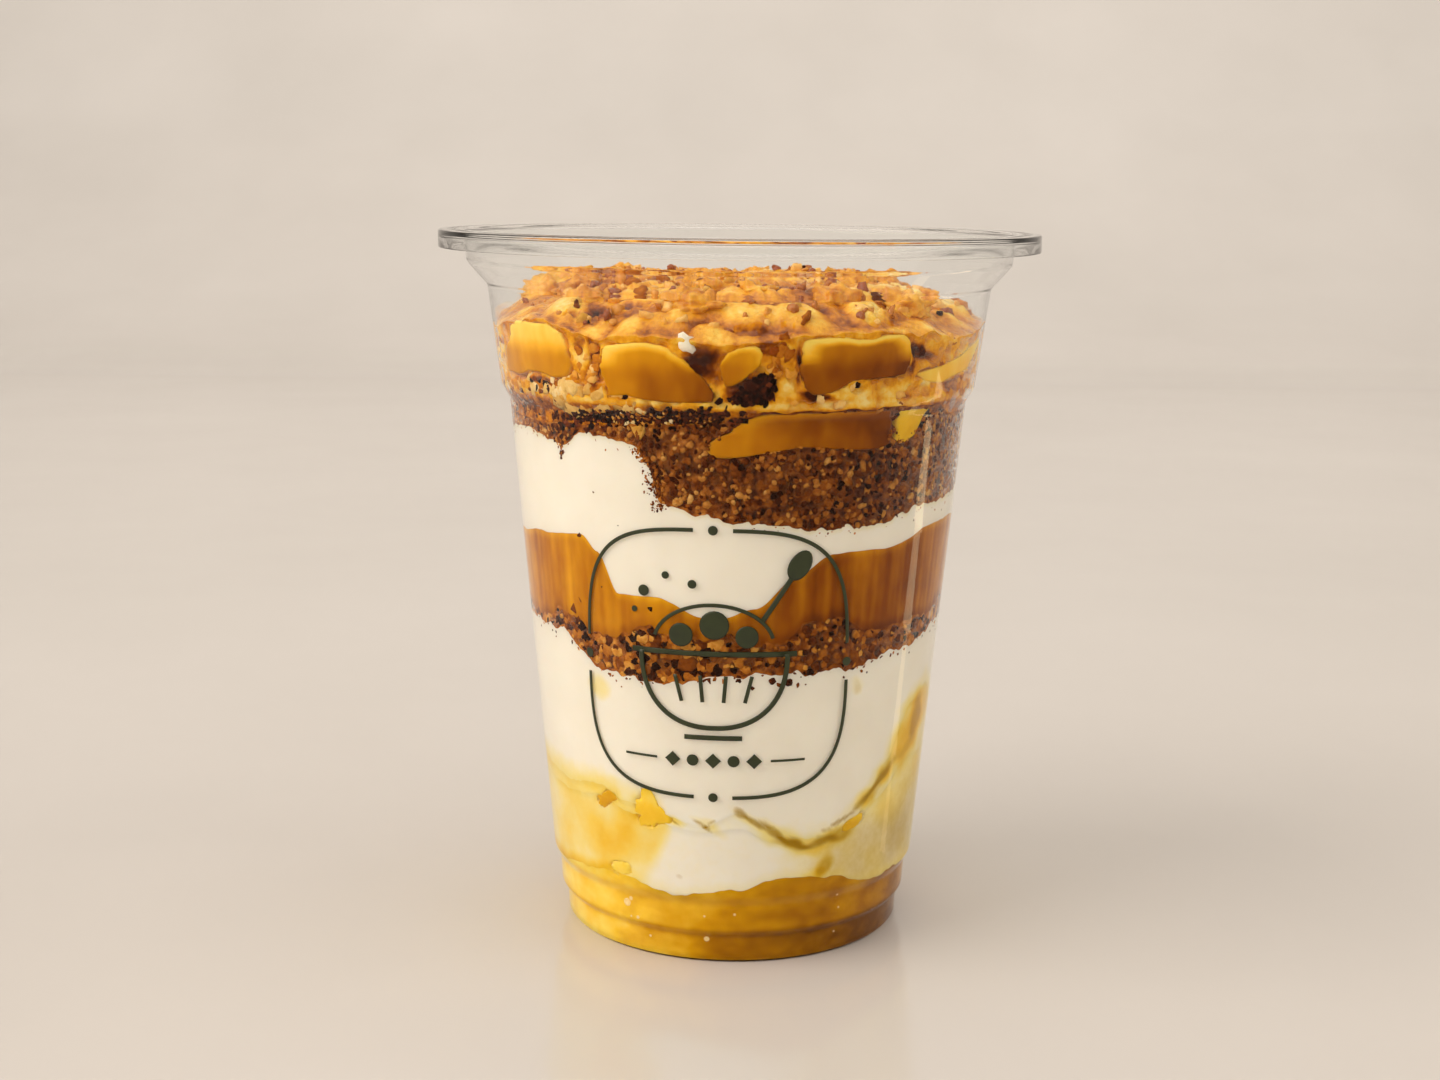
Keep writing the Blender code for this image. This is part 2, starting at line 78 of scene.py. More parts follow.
# The levels between the layers where they meet the wall: angle and height, as the part has them.
PUREE_TOP = (
    (-150, 12.0), (-120, 14.0), (-90, 12.3), (-70, 12.0), (-50, 13.2), (-38, 14.0), (-15, 11.8),
    (0, 13.2), (15, 15.2), (30, 14.3), (45, 12.0), (75, 11.8), (105, 12.4), (130, 14.5), (160, 12.6),
)
SEAM_BOTTOM = (
    (-150, 22.0), (-120, 26.0), (-90, 27.0), (-70, 26.0), (-55, 25.5), (-42, 26.3), (-30, 24.6),
    (-8, 22.8), (2, 23.6), (12, 21.4), (20, 19.8), (30, 19.7), (38, 21.4), (46, 25.6), (60, 31.0),
    (78, 31.0), (100, 28.0), (130, 24.0), (160, 21.8),
)
SEAM_TOP = (
    (-150, 24.4), (-120, 28.6), (-90, 29.6), (-70, 28.2), (-55, 27.4), (-42, 28.4), (-30, 26.4),
    (-8, 24.2), (2, 26.2), (12, 23.2), (20, 21.4), (30, 21.6), (38, 24.0), (46, 29.0), (60, 40.5),
    (70, 42.5), (85, 37.0), (105, 31.0), (130, 26.6), (160, 24.2),
)
GRANOLA_BOTTOM = (
    (-150, 49.0), (-120, 51.0), (-90, 52.4), (-62, 53.2), (-52, 52.8), (-45, 49.8), (-37, 48.0),
    (-20, 47.2), (-5, 48.8), (15, 49.2), (27, 49.0), (50, 50.8), (70, 53.0), (90, 53.0),
    (120, 49.5), (155, 51.0),
)
CARAMEL_BOTTOM = (
    (-150, 54.0), (-120, 56.0), (-90, 54.6), (-62, 54.8), (-48, 56.3), (-40, 54.4), (-33, 53.5),
    (-25, 56.0), (-8, 55.2), (10, 53.6), (20, 57.0), (26, 58.2), (38, 54.8), (58, 54.9),
    (80, 56.8), (105, 56.5), (130, 54.2), (158, 57.0),
)
CARAMEL_TOP = (
    (-150, 67.5), (-120, 69.0), (-98, 66.0), (-75, 67.2), (-60, 68.6), (-42, 69.5), (-37, 67.4),
    (-31, 61.0), (-20, 60.9), (-5, 57.8), (5, 59.6), (16, 65.0), (25, 68.0), (42, 68.0),
    (60, 70.4), (75, 70.6), (98, 66.0), (130, 61.8), (158, 61.0),
)
CRUMB_BOTTOM = (
    (-150, 83.5), (-120, 80.5), (-98, 83.6), (-60, 84.9), (-47, 83.4), (-40, 85.6), (-29, 85.2),
    (-24.5, 84.0), (-21, 81.4), (-18.6, 75.8), (-10, 74.2), (0, 73.2), (20, 72.0), (37, 71.8),
    (52, 73.8), (80, 74.6), (110, 79.5), (130, 78.0), (158, 79.5),
)
CRUMB_TOP = (
    (-150, 87.4), (-120, 86.6), (-90, 87.3), (-55, 86.6), (-42, 87.0), (-20, 87.8), (-8, 88.0),
    (0, 89.4), (8, 90.2), (40, 90.3), (52, 90.0), (66, 87.8), (90, 87.6), (130, 87.0), (160, 87.6),
)
TOPPING_EDGE = (
    (-150, 100.5), (-110, 101.8), (-75, 100.4), (-50, 102.4), (-35, 100.6), (-20, 101.0),
    (0, 100.2), (20, 101.8), (40, 101.4), (60, 100.0), (80, 101.6), (120, 99.8), (160, 101.5),
)
DOME_HEIGHT = 107.8
DOME_POWER = 4.6

# How ragged each level is: height and length of its unevenness, and where its pattern starts.
RAGS = {
    PUREE_TOP: (0.6, 4.5, 1.0),
    SEAM_BOTTOM: (0.5, 3.4, 2.0),
    SEAM_TOP: (0.5, 2.8, 3.0),
    GRANOLA_BOTTOM: (1.1, 2.6, 4.0),
    CARAMEL_BOTTOM: (1.2, 3.0, 5.0),
    CARAMEL_TOP: (0.35, 5.0, 6.0),
    CRUMB_BOTTOM: (0.8, 2.0, 7.0),
    CRUMB_TOP: (0.4, 2.5, 8.0),
    TOPPING_EDGE: (0.7, 3.5, 9.0),
}
# The filling's usual radius, for patterns that are read along a circle.
MEAN_RADIUS = 36.0
WANDER_RADIUS = 34.0

# Pieces that show through the wall, as the part has them: name, depth, and outline on the wall.
CARAMEL_PIECES = (
    ("caramel_left", 6.0, (
        (-68, 93.6), (-68, 97.0), (-63.6, 98.8), (-62.6, 100.8), (-59, 102.0), (-52, 102.3),
        (-45.5, 102.2), (-42.4, 101.0), (-40.6, 98.6), (-38.8, 95.6), (-40, 94.2), (-45, 93.8),
        (-50, 94.4), (-56, 94.2), (-62, 93.2),
    )),
    ("caramel_front", 5.5, (
        (-31.2, 94.8), (-31.4, 97.4), (-30.2, 99.2), (-26, 99.9), (-19.5, 100.3), (-15.8, 99.9),
        (-12.6, 98.4), (-9, 96.1), (-6, 94.1), (-4.6, 92.6), (-5.4, 91.6), (-9, 91.3), (-19.5, 91.4),
        (-26, 92.2), (-30, 91.4),
    )),
    ("caramel_drop", 3.5, (
        (-4, 96.8), (-2.6, 98.8), (0, 99.8), (3.6, 100.1), (5.2, 99.2), (4.9, 97.2), (3, 96.0),
        (0.8, 94.8), (-1.2, 94.0), (-2.6, 94.0), (-3.8, 95.4),
    )),
    ("caramel_block", 6.5, (
        (13.8, 95.0), (13.7, 99.4), (14.6, 101.0), (19.5, 101.3), (30, 100.8), (34.5, 101.5),
        (38.6, 101.4), (40.5, 100.2), (40.8, 97.4), (40.2, 95.4), (37.5, 94.9), (25.5, 94.6),
        (21.8, 93.1), (17.4, 92.6), (14.6, 93.5),
    )),
    ("caramel_streak", 4.0, (
        (42.8, 95.3), (47, 95.6), (52, 96.0), (58, 96.8), (64, 97.6), (68, 98.8), (73, 99.6),
        (74, 98.6), (70, 96.8), (66, 94.7), (60, 94.2), (52, 93.2), (47, 93.8),
    )),
)
CARAMEL_SLAB = ("caramel_slab", 8.0, (
    (-7.3, 83.9), (-7, 85.2), (-3.8, 86.4), (-0.6, 87.6), (2.5, 89.2), (6, 89.9), (20, 90.0),
    (37.2, 90.0), (39.0, 89.3), (39.2, 84.9), (37.6, 83.8), (30, 83.8), (22, 84.3), (15, 84.7),
    (7.5, 83.9), (0, 83.0), (-5.2, 82.8),
))
FRUIT_SLAB = ("fruit_slab", 5.0, (
    (40.6, 84.9), (40.5, 89.7), (51.0, 89.7), (49.6, 87.8), (47.2, 85.4), (43.6, 84.2),
))
CHOCOLATE_CHUNK = ("chocolate_chunk", 4.5, (
    (-0.9, 91.6), (-0.7, 92.8), (1.6, 93.9), (3.6, 95.1), (5.9, 96.2), (7.6, 95.3), (8.2, 94.4),
    (7.1, 92.6), (5.6, 91.5),
))
CARAMEL_OVALS = (
    ("caramel_back_right", 98.0, 96.6, 8.0, 3.6, 5.5, -8, 2.8),
    ("caramel_back", 152.0, 96.2, 9.0, 3.4, 6.0, 5, 2.6),
    ("caramel_back_left", -112.0, 96.8, 8.4, 3.8, 6.0, 7, 3.0),
)
CHOCOLATE_SEAM = ("chocolate_seam", -21.5, 88.9, 12.0, 0.95, 4.0, 2, 4.0)
MANGO_OVALS = (
    ("mango_left", -39.5, 26.2, 2.6, 1.4, 3.5, 32, 3.0),
    ("mango_low", -35.5, 14.6, 2.4, 1.5, 3.5, 10, 3.0),
    ("mango_right", 38.0, 22.8, 2.7, 1.3, 3.5, 18, 2.6),
    ("mango_back", 140.0, 25.4, 3.2, 2.4, 4.0, -10, 3.2),
    ("mango_side", -97.0, 28.2, 3.0, 2.2, 4.0, 12, 3.0),
)
MANGO_BRIGHT = ("mango_bright", 4.0, (
    (-29.6, 24.4), (-30.2, 27.0), (-27.8, 28.0), (-27.2, 29.6), (-23.6, 29.4), (-21.4, 27.2),
    (-19.0, 25.8), (-16.4, 24.7), (-17.6, 23.6), (-21, 23.2), (-24, 22.4), (-27.6, 22.8),
))
OVAL_POINTS = 24
OUTLINE_WAYS = 96

# Each caramel piece's tone, from dark toffee at 0 to pale gold at 1: its body, how much lighter it
# gets upwards, to the left, and along its upper edge. These three are painted light: the upper part
# and the left side lit, and a painted highlight along the upper edge.
PIECE_TONES_AND_LIGHT = {
    "caramel_left": (0.54, 0.38, 0.02, 0.06), "caramel_front": (0.36, 0.20, 0.16, 0.40),
    "caramel_drop": (0.46, 0.10, -0.06, 0.34), "caramel_block": (0.18, 0.20, 0.08, 0.74),
    "caramel_streak": (0.86, 0.12, 0.0, 0.12), "caramel_slab": (0.29, -0.04, 0.2, 0.2),
    "caramel_back_right": (0.42, 0.16, 0.05, 0.3), "caramel_back": (0.36, 0.16, -0.05, 0.3),
    "caramel_back_left": (0.55, 0.25, 0.0, 0.15), "mango_bright": (0.70, 0.06, 0.0, 0.0),
    "mango_left": (0.52, -0.04, 0.0, 0.0), "mango_low": (0.84, 0.0, 0.0, 0.0),
    "mango_right": (0.56, 0.1, 0.0, 0.0), "fruit_slab": (0.58, 0.06, 0.05, 0.05),
}
# Other pieces: a plain body with a little painted light upwards and a painted highlight along the edge.
PLAIN_TONE_AND_LIGHT = (0.5, 0.1, 0.0, 0.1)

# Granola pieces on top, at the places that the part gives them.
CRUMBS = 38
CRUMB_SEED = 11
CRUMB_SIZES = (2.3, 3.7)
CRUMB_CEILING = 110.4
CRUMB_FIELD = 33.0

# What the random draws of the scattered pieces start from.
PRESSED_SEED, GRANOLA_SEED, NUT_SEED, SIDE_SEED, LOOSE_SEED, BUBBLE_SEED = range(21, 27)

# The camera, from the cup's outline in the photograph.
SENSOR = 36.0
LENS = 48.3
CAMERA_PLACE = (0.0, -320.6, 124.0)
CAMERA_PITCH = 10.63
CAMERA_YAW = 0.48
CAMERA_ROLL = 0.6


def smooth(low, high, value):
    """Eased share of the way from low to high."""
    share = min(1.0, max(0.0, (value - low) / (high - low)))
    return share * share * (3 - 2 * share)


def turn_between(angle, other):
    return (angle - other + 180) % 360 - 180


def rounded(corners):
    """A profile's points with every corner between its ends turned into a short curve."""
    points = [Vector(corners[0])]
    for before, corner, after in zip(corners, corners[1:], corners[2:]):
        corner = Vector(corner)
        back, ahead = Vector(before) - corner, Vector(after) - corner
        reach = min(CORNER, back.length * 0.45, ahead.length * 0.45)
        start, end = corner + back.normalized() * reach, corner + ahead.normalized() * reach
        for step in range(CORNER_STEPS + 1):
            share = step / CORNER_STEPS
            points.append(start.lerp(corner, share).lerp(corner.lerp(end, share), share))
    points.append(Vector(corners[-1]))
    return points


def inside_corners():
    """Corners of the cup's inner side, from the ring in the floor to the mouth."""
    corners = [(FOOT_RADIUS - WALL - 0.4, RING_FLOOR), (FOOT_RADIUS - WALL, RING_FLOOR + 0.5)]
    for top, bottom in (FOOT_LEDGE, LOWER_LEDGE, STACKING_LEDGE, COLLAR):
        corners.append((bottom[0] - WALL, bottom[1] + WALL / 3))
        corners.append((top[0] - WALL, top[1] + WALL / 3))
    return corners + [(MOUTH_RADIUS - WALL, HEIGHT - 0.9)]


def outside_corners():
    """Corners of the cup's outer side, from under the flange to the foot's ring."""
    corners = [(MOUTH_RADIUS, HEIGHT - FLANGE - 0.3)]
    for pair in (COLLAR, STACKING_LEDGE, LOWER_LEDGE, FOOT_LEDGE):
        corners += list(pair)
    return corners + [(FOOT_RADIUS, FOOT_EDGE)]


def radii_by_height(corners):
    """Heights and radii of a rounded side, in rising order, for reading the radius at a height."""
    points = sorted(rounded(corners), key=lambda point: point.y)
    return np.array([point.y for point in points]), np.array([point.x for point in points])


INSIDE = radii_by_height(inside_corners())
OUTSIDE = radii_by_height(outside_corners())


def inner_radius(height):
    return float(np.interp(height, *INSIDE))


def outer_radius(height):
    return float(np.interp(height, *OUTSIDE))


# The topping's radius where its upper side meets the wall.
HEAP_RADIUS = inner_radius(101)


def place(angle, radius, height):
    """Point at an angle from the front, a radius and a height."""
    turn = math.radians(angle)
    return Vector((radius * math.sin(turn), -radius * math.cos(turn), height))


def blend(table, angle):
    """Height of a level at the wall, eased between the table's angles right round the cup."""
    first = table[0][0]
    angle = (angle - first) % 360 + first
    points = list(table) + [(first + 360, table[0][1])]
    for (low, start), (high, end) in zip(points, points[1:]):
        if low <= angle <= high:
            return start + (end - start) * smooth(low, high, angle)
    return table[0][1]


def ragged(table, angle):
    """Unevenness of a level at the wall: a noise read along a circle, so that it closes."""
    height, length, start = RAGS[table]
    spot = place(angle, MEAN_RADIUS / length, start * 17.3)
    return height * (noise.noise(spot) + 0.5 * noise.noise(spot * 2.6))


LEVELS = {}


def level(table, angle, share=1.0):
    """Height of a level at a share of the radius: its waves die out towards the middle."""
    key = (id(table), round(angle, 3))
    if key not in LEVELS:
        mean = sum(height for _, height in table) / len(table)
        LEVELS[key] = (mean, blend(table, angle), ragged(table, angle))
    mean, wall, waves = LEVELS[key]
    if share < 1:
        waves *= smooth(0.6, 1.0, share)
    return mean + (wall + waves - mean) * share * share


def squared(way, square):
    """The point in a direction on a curve one unit in radius: a circle at 2, squarer above it."""
    across, up = math.cos(way), math.sin(way)
    reach = (abs(across) ** square + abs(up) ** square) ** (-1 / square)
    return across * reach, up * reach


def oval(spec):
    """A rounded piece's name, depth and outline from its size, tilt and squareness."""
    name, angle, height, half_width, half_height, depth, tilt, square = spec
    turn = math.radians(tilt)
    outline = []
    for index in range(OVAL_POINTS):
        way = math.tau * index / OVAL_POINTS
        wide, tall = squared(way, square)
        wide, tall = wide * half_width, tall * half_height
        along = wide * math.cos(turn) - tall * math.sin(turn)
        rise = wide * math.sin(turn) + tall * math.cos(turn)
        outline.append((angle + math.degrees(along / inner_radius(height)), height + rise))
    return name, depth, tuple(outline)


class Footprint:
    """A piece's outline on the wall, with how far the outline is from its middle in each direction."""

    def __init__(self, spec):
        self.name, self.depth, outline = spec
        angles = [angle for angle, _ in outline]
        heights = [height for _, height in outline]
        self.angle = (min(angles) + max(angles)) / 2
        self.height = (min(heights) + max(heights)) / 2
        self.radius = inner_radius(self.height)
        self.half_width = math.radians(max(angles) - min(angles)) / 2 * self.radius
        self.half_height = (max(heights) - min(heights)) / 2
        self.points = [
            (math.radians(angle - self.angle) * self.radius / self.half_width,
             (height - self.height) / self.half_height)
            for angle, height in outline
        ]
        self.reaches = [self.reach_along(math.tau * way / OUTLINE_WAYS) for way in range(OUTLINE_WAYS)]

    def reach_along(self, way):
        """Distance from the middle to the outline in a direction, in halves of its width and height."""
        across, up = math.cos(way), math.sin(way)
        reach = 0.0
        for (x, y), (next_x, next_y) in zip(self.points, self.points[1:] + self.points[:1]):
            run, climb = next_x - x, next_y - y
            turn = across * climb - up * run
            if abs(turn) < 1e-9:
                continue
            out = (x * climb - y * run) / turn
            share = (x * up - y * across) / turn
            if out > reach and -1e-6 <= share <= 1 + 1e-6:
                reach = out
        return reach

    def reach(self, way):
        """The reach in a direction, softened between the directions that were worked out."""
        spot = (way / math.tau * OUTLINE_WAYS) % OUTLINE_WAYS
        first = int(spot) % OUTLINE_WAYS
        second = (first + 1) % OUTLINE_WAYS
        return self.reaches[first] + (self.reaches[second] - self.reaches[first]) * (spot - int(spot))

    def off(self, angle, height):
        """Millimetres outside the outline, or inside it where negative."""
        wide = math.radians(turn_between(angle, self.angle)) * self.radius
        tall = height - self.height
        if abs(wide) > self.half_width + 3 or abs(tall) > self.half_height + 3:
            return 3.0
        across, up = wide / self.half_width, tall / self.half_height
        spread = math.hypot(across, up)
        if spread < 0.01:
            return -min(self.half_width, self.half_height)
        return (1 - self.reach(math.atan2(up, across)) / spread) * math.hypot(wide, tall)


def footprints(*specs):
    return [Footprint(spec) for spec in specs]


CARAMEL_PRINTS = footprints(*CARAMEL_PIECES, *(oval(spec) for spec in CARAMEL_OVALS))
CHUNK_PRINT = Footprint(CHOCOLATE_CHUNK)
SEAM_PRINT = Footprint(oval(CHOCOLATE_SEAM))
SLAB_PRINT = Footprint(CARAMEL_SLAB)
FRUIT_PRINT = Footprint(FRUIT_SLAB)
MANGO_PRINTS = footprints(*(oval(spec) for spec in MANGO_OVALS), MANGO_BRIGHT)
CRUMB_PRINTS = (SLAB_PRINT, FRUIT_PRINT, SEAM_PRINT)
TOPPING_PRINTS = (*CARAMEL_PRINTS, CHUNK_PRINT, SEAM_PRINT)


def linear(colour):
    """A screen colour of three numbers up to 255 as a shader's four."""
    parts = [value / 255 for value in colour]
    return (*((v / 12.92 if v <= 0.04045 else ((v + 0.055) / 1.055) ** 2.4) for v in parts), 1.0)


class Nodes:
    """A node tree being made: each method adds one node and gives its output."""

    def __init__(self, tree):
        self.nodes = tree.nodes
        self.links = tree.links

    def put(self, node, key, value):
        if isinstance(value, bpy.types.NodeSocket):
            self.links.new(value, node.inputs[key])
        else:
            node.inputs[key].default_value = value

    def add(self, kind, inputs, output, **settings):
        node = self.nodes.new("ShaderNode" + kind)
        for key, value in settings.items():
            setattr(node, key, value)
        for key, value in inputs.items():
            self.put(node, key, value)
        return node.outputs[output]

    def sum(self, first, second, share=1.0):
        """The first value plus a share of the second."""
        return self.add("Math", {0: second, 1: share, 2: first}, 0, operation="MULTIPLY_ADD")


class Finish(Nodes):
    """A material being made, with the patterns and tones that food needs."""

    def __init__(self, name, **sockets):
        self.material = bpy.data.materials.new(name)
        self.material.use_nodes = True
        super().__init__(self.material.node_tree)
        self.shader = self.nodes["Principled BSDF"]
        self.place = self.add("TexCoord", {}, "Object")
        for key, value in sockets.items():
            self.shader.inputs[key.replace("_", " ")].default_value = value

    def attribute(self, name):
        return self.add("Attribute", {}, "Fac", attribute_name=name)

    def noise(self, size, detail=3.0, roughness=0.55, stretch=(1, 1, 1)):
        """Noise with features of a size in millimetres, stretched along the axes."""
        spot = self.add("Mapping", {"Vector": self.place, "Scale": stretch}, "Vector")
        inputs = {"Vector": spot, "Scale": 1 / (size * MM), "Detail": detail, "Roughness": roughness}
        return self.add("TexNoise", inputs, "Fac")

    def toned(self, start, *patterns):
        """The piece's own tone with patterns on it, each a noise and its share."""
        for pattern, share in patterns:
            start = self.sum(start, pattern, share)
        return self.sum(start, self.attribute("tone"))

    def ramp(self, factor, stops):
        """Colours or greys along a factor, as pairs of place and colour."""
        end = max(1.0, stops[-1][0])
        if end > 1:
            factor = self.add("Math", {0: factor, 1: 1 / end}, 0, operation="MULTIPLY")
        node = self.nodes.new("ShaderNodeValToRGB")
        self.links.new(factor, node.inputs["Fac"])
        band = node.color_ramp.elements
        while len(band) < len(stops):
            band.new(0.5)
        for stop, (spot, colour) in zip(band, stops):
            stop.position = spot / end
            stop.color = linear(colour) if isinstance(colour, tuple) else (colour, colour, colour, 1)
        return node.outputs["Color"]

    def mix(self, factor, first, second, blend_type="MIX"):
        first, second = (linear(item) if isinstance(item, tuple) else item for item in (first, second))
        inputs = {0: factor, 6: first, 7: second}
        return self.add("Mix", inputs, 2, data_type="RGBA", blend_type=blend_type)

    def bump(self, height, depth, strength=1.0):
        """Fine relief of a depth in millimetres."""
        inputs = {"Height": height, "Distance": depth * MM, "Strength": strength}
        self.put(self.shader, "Normal", self.add("Bump", inputs, "Normal"))

    def colour(self, value):
        self.put(self.shader, "Base Color", value)


def clear_plastic():
    """Clear thermoformed plastic: glass that lets light through to what it holds."""
    finish = Finish("clear_plastic", Roughness=0.03, IOR=1.42, Base_Color=(0.985, 0.99, 0.985, 1),
                    Transmission_Weight=1.0, Specular_Tint=(0.3, 0.28, 0.24, 1))
    finish.bump(finish.noise(14.0, 1.0), 0.12, 0.03)
    shadow = finish.add("LightPath", {}, "Is Shadow Ray")
    clear = finish.add("BsdfTransparent", {}, 0)
    mixed = finish.add("MixShader", {0: shadow, 1: finish.shader.outputs[0], 2: clear}, 0)
    finish.put(finish.nodes["Material Output"], "Surface", mixed)
    return finish.material


def soft_food(name, roughness, gloss, weight, radius, scale):
    """A finish that starts with the sheen and the depth of soft food."""
    return Finish(name, Roughness=roughness, Specular_IOR_Level=gloss, Subsurface_Weight=weight,
                  Subsurface_Radius=radius, Subsurface_Scale=scale * MM)


def yogurt_finish(name="yogurt"):
    """Thick cream-white yogurt: mango yellow for tint, brown threads and painted shade for stain."""
    finish = soft_food(name, 0.5, 0.03, 0.25, (1.0, 0.75, 0.5), 2.0)
    white = finish.mix(finish.noise(7.0, 3.0), (236, 228, 212), (246, 240, 227))
    edge = finish.sum(-0.11, finish.noise(1.6, 3.0, 0.6), 0.22)
    tint = finish.sum(edge, finish.attribute("tint"))
    yellow = finish.ramp(tint, (
        (0.0, (255, 255, 255)), (0.25, (255, 248, 214)), (0.5, (255, 240, 164)),
        (0.75, (255, 226, 108)), (1.0, (248, 204, 44)), (1.3, (212, 166, 6)),
    ))
    stain = finish.sum(edge, finish.attribute("stain"))
    brown = finish.ramp(stain, ((0.1, 0.0), (0.9, 1.0)))
    base = finish.mix(1.0, white, yellow, "MULTIPLY")
    finish.colour(finish.mix(brown, base, (164, 124, 20)))
    finish.bump(finish.noise(2.5, 2.0), 0.15, 0.3)
    return finish.material


def puree_finish(name="mango_puree", shift=0.0):
    """Sieved mango with pulp in it: translucent, wet, lighter where the pulp is thick."""
    finish = soft_food(name, 0.35, 0.04, 0.25, (1.0, 0.65, 0.2), 2.5)
    coarse, fine = finish.noise(4.5, 4.0, 0.6, (1, 1, 1.6)), finish.noise(1.3, 3.0)
    pulp = finish.toned(shift - 0.2, (coarse, 0.28), (fine, 0.12))
    finish.colour(finish.ramp(pulp, (
        (0.0, (120, 70, 0)), (0.25, (174, 114, 0)), (0.5, (218, 160, 4)), (0.75, (248, 204, 56)),
        (1.0, (255, 230, 120)),
    )))
    finish.bump(finish.noise(1.4, 2.0), 0.2, 0.4)
    return finish.material


def caramel_finish():
    """Soft caramel and nut butter: dark on the wall, golden at its upper edge as painted highlight."""
    finish = soft_food("caramel", 0.35, 0.05, 0.2, (1.0, 0.6, 0.2), 1.8)
    tone = finish.toned(-0.18, (finish.noise(3.5, 3.0, 0.55, (1, 1, 0.5)), 0.36))
    finish.colour(finish.ramp(tone, (
        (0.0, (88, 34, 2)), (0.2, (144, 74, 1)), (0.4, (190, 118, 2)), (0.6, (222, 156, 12)),
        (0.8, (250, 190, 46)), (1.0, (255, 218, 100)),
    )))
    finish.bump(finish.noise(1.2, 3.0), 0.12, 0.4)
    return finish.material


def crumb_finish(name, stops, size, roughness=0.7, sheen=0.04):
    """Baked crumbs: each grain has its own tone, with toasted specks on it."""
    finish = Finish(name, Roughness=roughness, Specular_IOR_Level=sheen)
    grain = finish.toned(-0.3, (finish.noise(size, 3.0, 0.65), 0.6))
    finish.colour(finish.ramp(grain, stops))
    finish.bump(finish.noise(size * 0.5, 3.0, 0.7), 0.25, 0.8)
    return finish.material


def glaze_finish(name="glaze", sheen=0.55):
    """The top's nut-butter glaze with crushed nuts under it."""
    finish = soft_food(name, 0.34, sheen, 0.12, (1.0, 0.6, 0.25), 1.6)
    tone = finish.toned(-0.64, (finish.noise(2.2, 4.0, 0.65), 0.96), (finish.noise(0.7, 2.0), 0.36))
    finish.colour(finish.ramp(tone, (
        (0.0, (60, 16, 2)), (0.22, (136, 64, 4)), (0.45, (204, 122, 8)), (0.7, (240, 170, 32)),
        (0.9, (250, 200, 80)), (1.1, (253, 222, 140)),
    )))
    rough = finish.ramp(finish.noise(6.0, 2.0), ((0.35, 0.16), (0.65, 0.42)))
    finish.put(finish.shader, "Roughness", rough)
    finish.bump(finish.noise(0.8, 4.0, 0.7), 0.35, 0.7)
    return finish.material


def ink_finish():
    """Dark olive ink, slightly uneven, printed on the plastic."""
    finish = Finish("olive_ink", Roughness=0.45)
    finish.colour(finish.mix(finish.noise(2.0, 2.0), (28, 34, 8), (44, 52, 14)))
    return finish.material


def add_piece(name, mesh, material, slot, *replaced):
    """Adds a piece of the object: it rides on the body, and may stand for CAD nodes."""
    piece = bpy.data.objects.new(name, mesh)
    bpy.context.scene.collection.objects.link(piece)
    mesh.materials.append(material)
    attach(piece, "root")
    for node in replaced:
        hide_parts(node)


def mesh_from(bm, name):
    """A finished mesh in metres from a closed bmesh in millimetres, its faces outwards."""
    bmesh.ops.scale(bm, vec=(MM, MM, MM), verts=bm.verts)
    bmesh.ops.recalc_face_normals(bm, faces=bm.faces)
    if bm.calc_volume(signed=True) < 0:
        bmesh.ops.reverse_faces(bm, faces=bm.faces)
    mesh = bpy.data.meshes.new(name)
    bm.to_mesh(mesh)
    bm.free()
    mesh.shade_smooth()
    return mesh


def make_cup(material):
    """The cup: its rounded profile turned about the axis, with a shallow groove in the flange."""
    lip = RIM_RADIUS - FLANGE
    rim = [
        (MOUTH_RADIUS + 0.1, HEIGHT), (MOUTH_RADIUS + 1.1, HEIGHT), (MOUTH_RADIUS + 1.4, HEIGHT - 0.25),
        (lip - 1.0, HEIGHT - 0.25), (lip - 0.7, HEIGHT), (RIM_RADIUS, HEIGHT),
        (RIM_RADIUS, HEIGHT - LIP_DROP), (lip, HEIGHT - LIP_DROP), (lip, HEIGHT - FLANGE - 0.25),
        (MOUTH_RADIUS + 0.5, HEIGHT - FLANGE - 0.1),
    ]
    foot = [
        (FOOT_RADIUS - FOOT_EDGE, 0), (RECESS_RADIUS + 0.6, 0), (RECESS_RADIUS, RECESS_DEPTH),
        (0, RECESS_DEPTH),
    ]
    ring = [(0, FLOOR_TOP), (RING_START, FLOOR_TOP), (RING_START + 0.9, RING_FLOOR)]
    corners = ring + inside_corners() + rim + outside_corners() + foot
    bm = bmesh.new()
    points = [bm.verts.new((point.x, 0, point.y)) for point in rounded(corners)]
    for start, end in zip(points, points[1:]):
        bm.edges.new((start, end))
    bmesh.ops.spin(bm, geom=bm.verts[:] + bm.edges[:], cent=(0, 0, 0), axis=(0, 0, 1), angle=math.tau,
                   steps=CUP_SEGMENTS, use_merge=True)
    bmesh.ops.remove_doubles(bm, verts=bm.verts, dist=0.002)
    add_piece("clear_cup", mesh_from(bm, "clear_cup"), material, "cup", "cup")


def floor_level(angle, share):
    """The cup's floor, with the ring round its edge, a little inside the plastic."""
    in_ring = smooth(RING_START, RING_START + 0.9, share * FOOT_RADIUS)
    return FLOOR_TOP - REACH - (FLOOR_TOP - RING_FLOOR) * in_ring


# Shares of the radius where a layer's upper and lower discs have their rings, and the angle from which
# an edge stays sharp.
TOP_SHARES = (0.3, 0.6, 0.82, 0.94)
BOTTOM_SHARES = (0.97, 0.94, 0.91, 0.88, 0.5, 0.0)
SHARP_ANGLE = 55


def surface(height):
    """A layer's surface as a function of angle and share of the radius, from that or a level's table."""
    return height if callable(height) else lambda angle, share: level(height, angle, share)


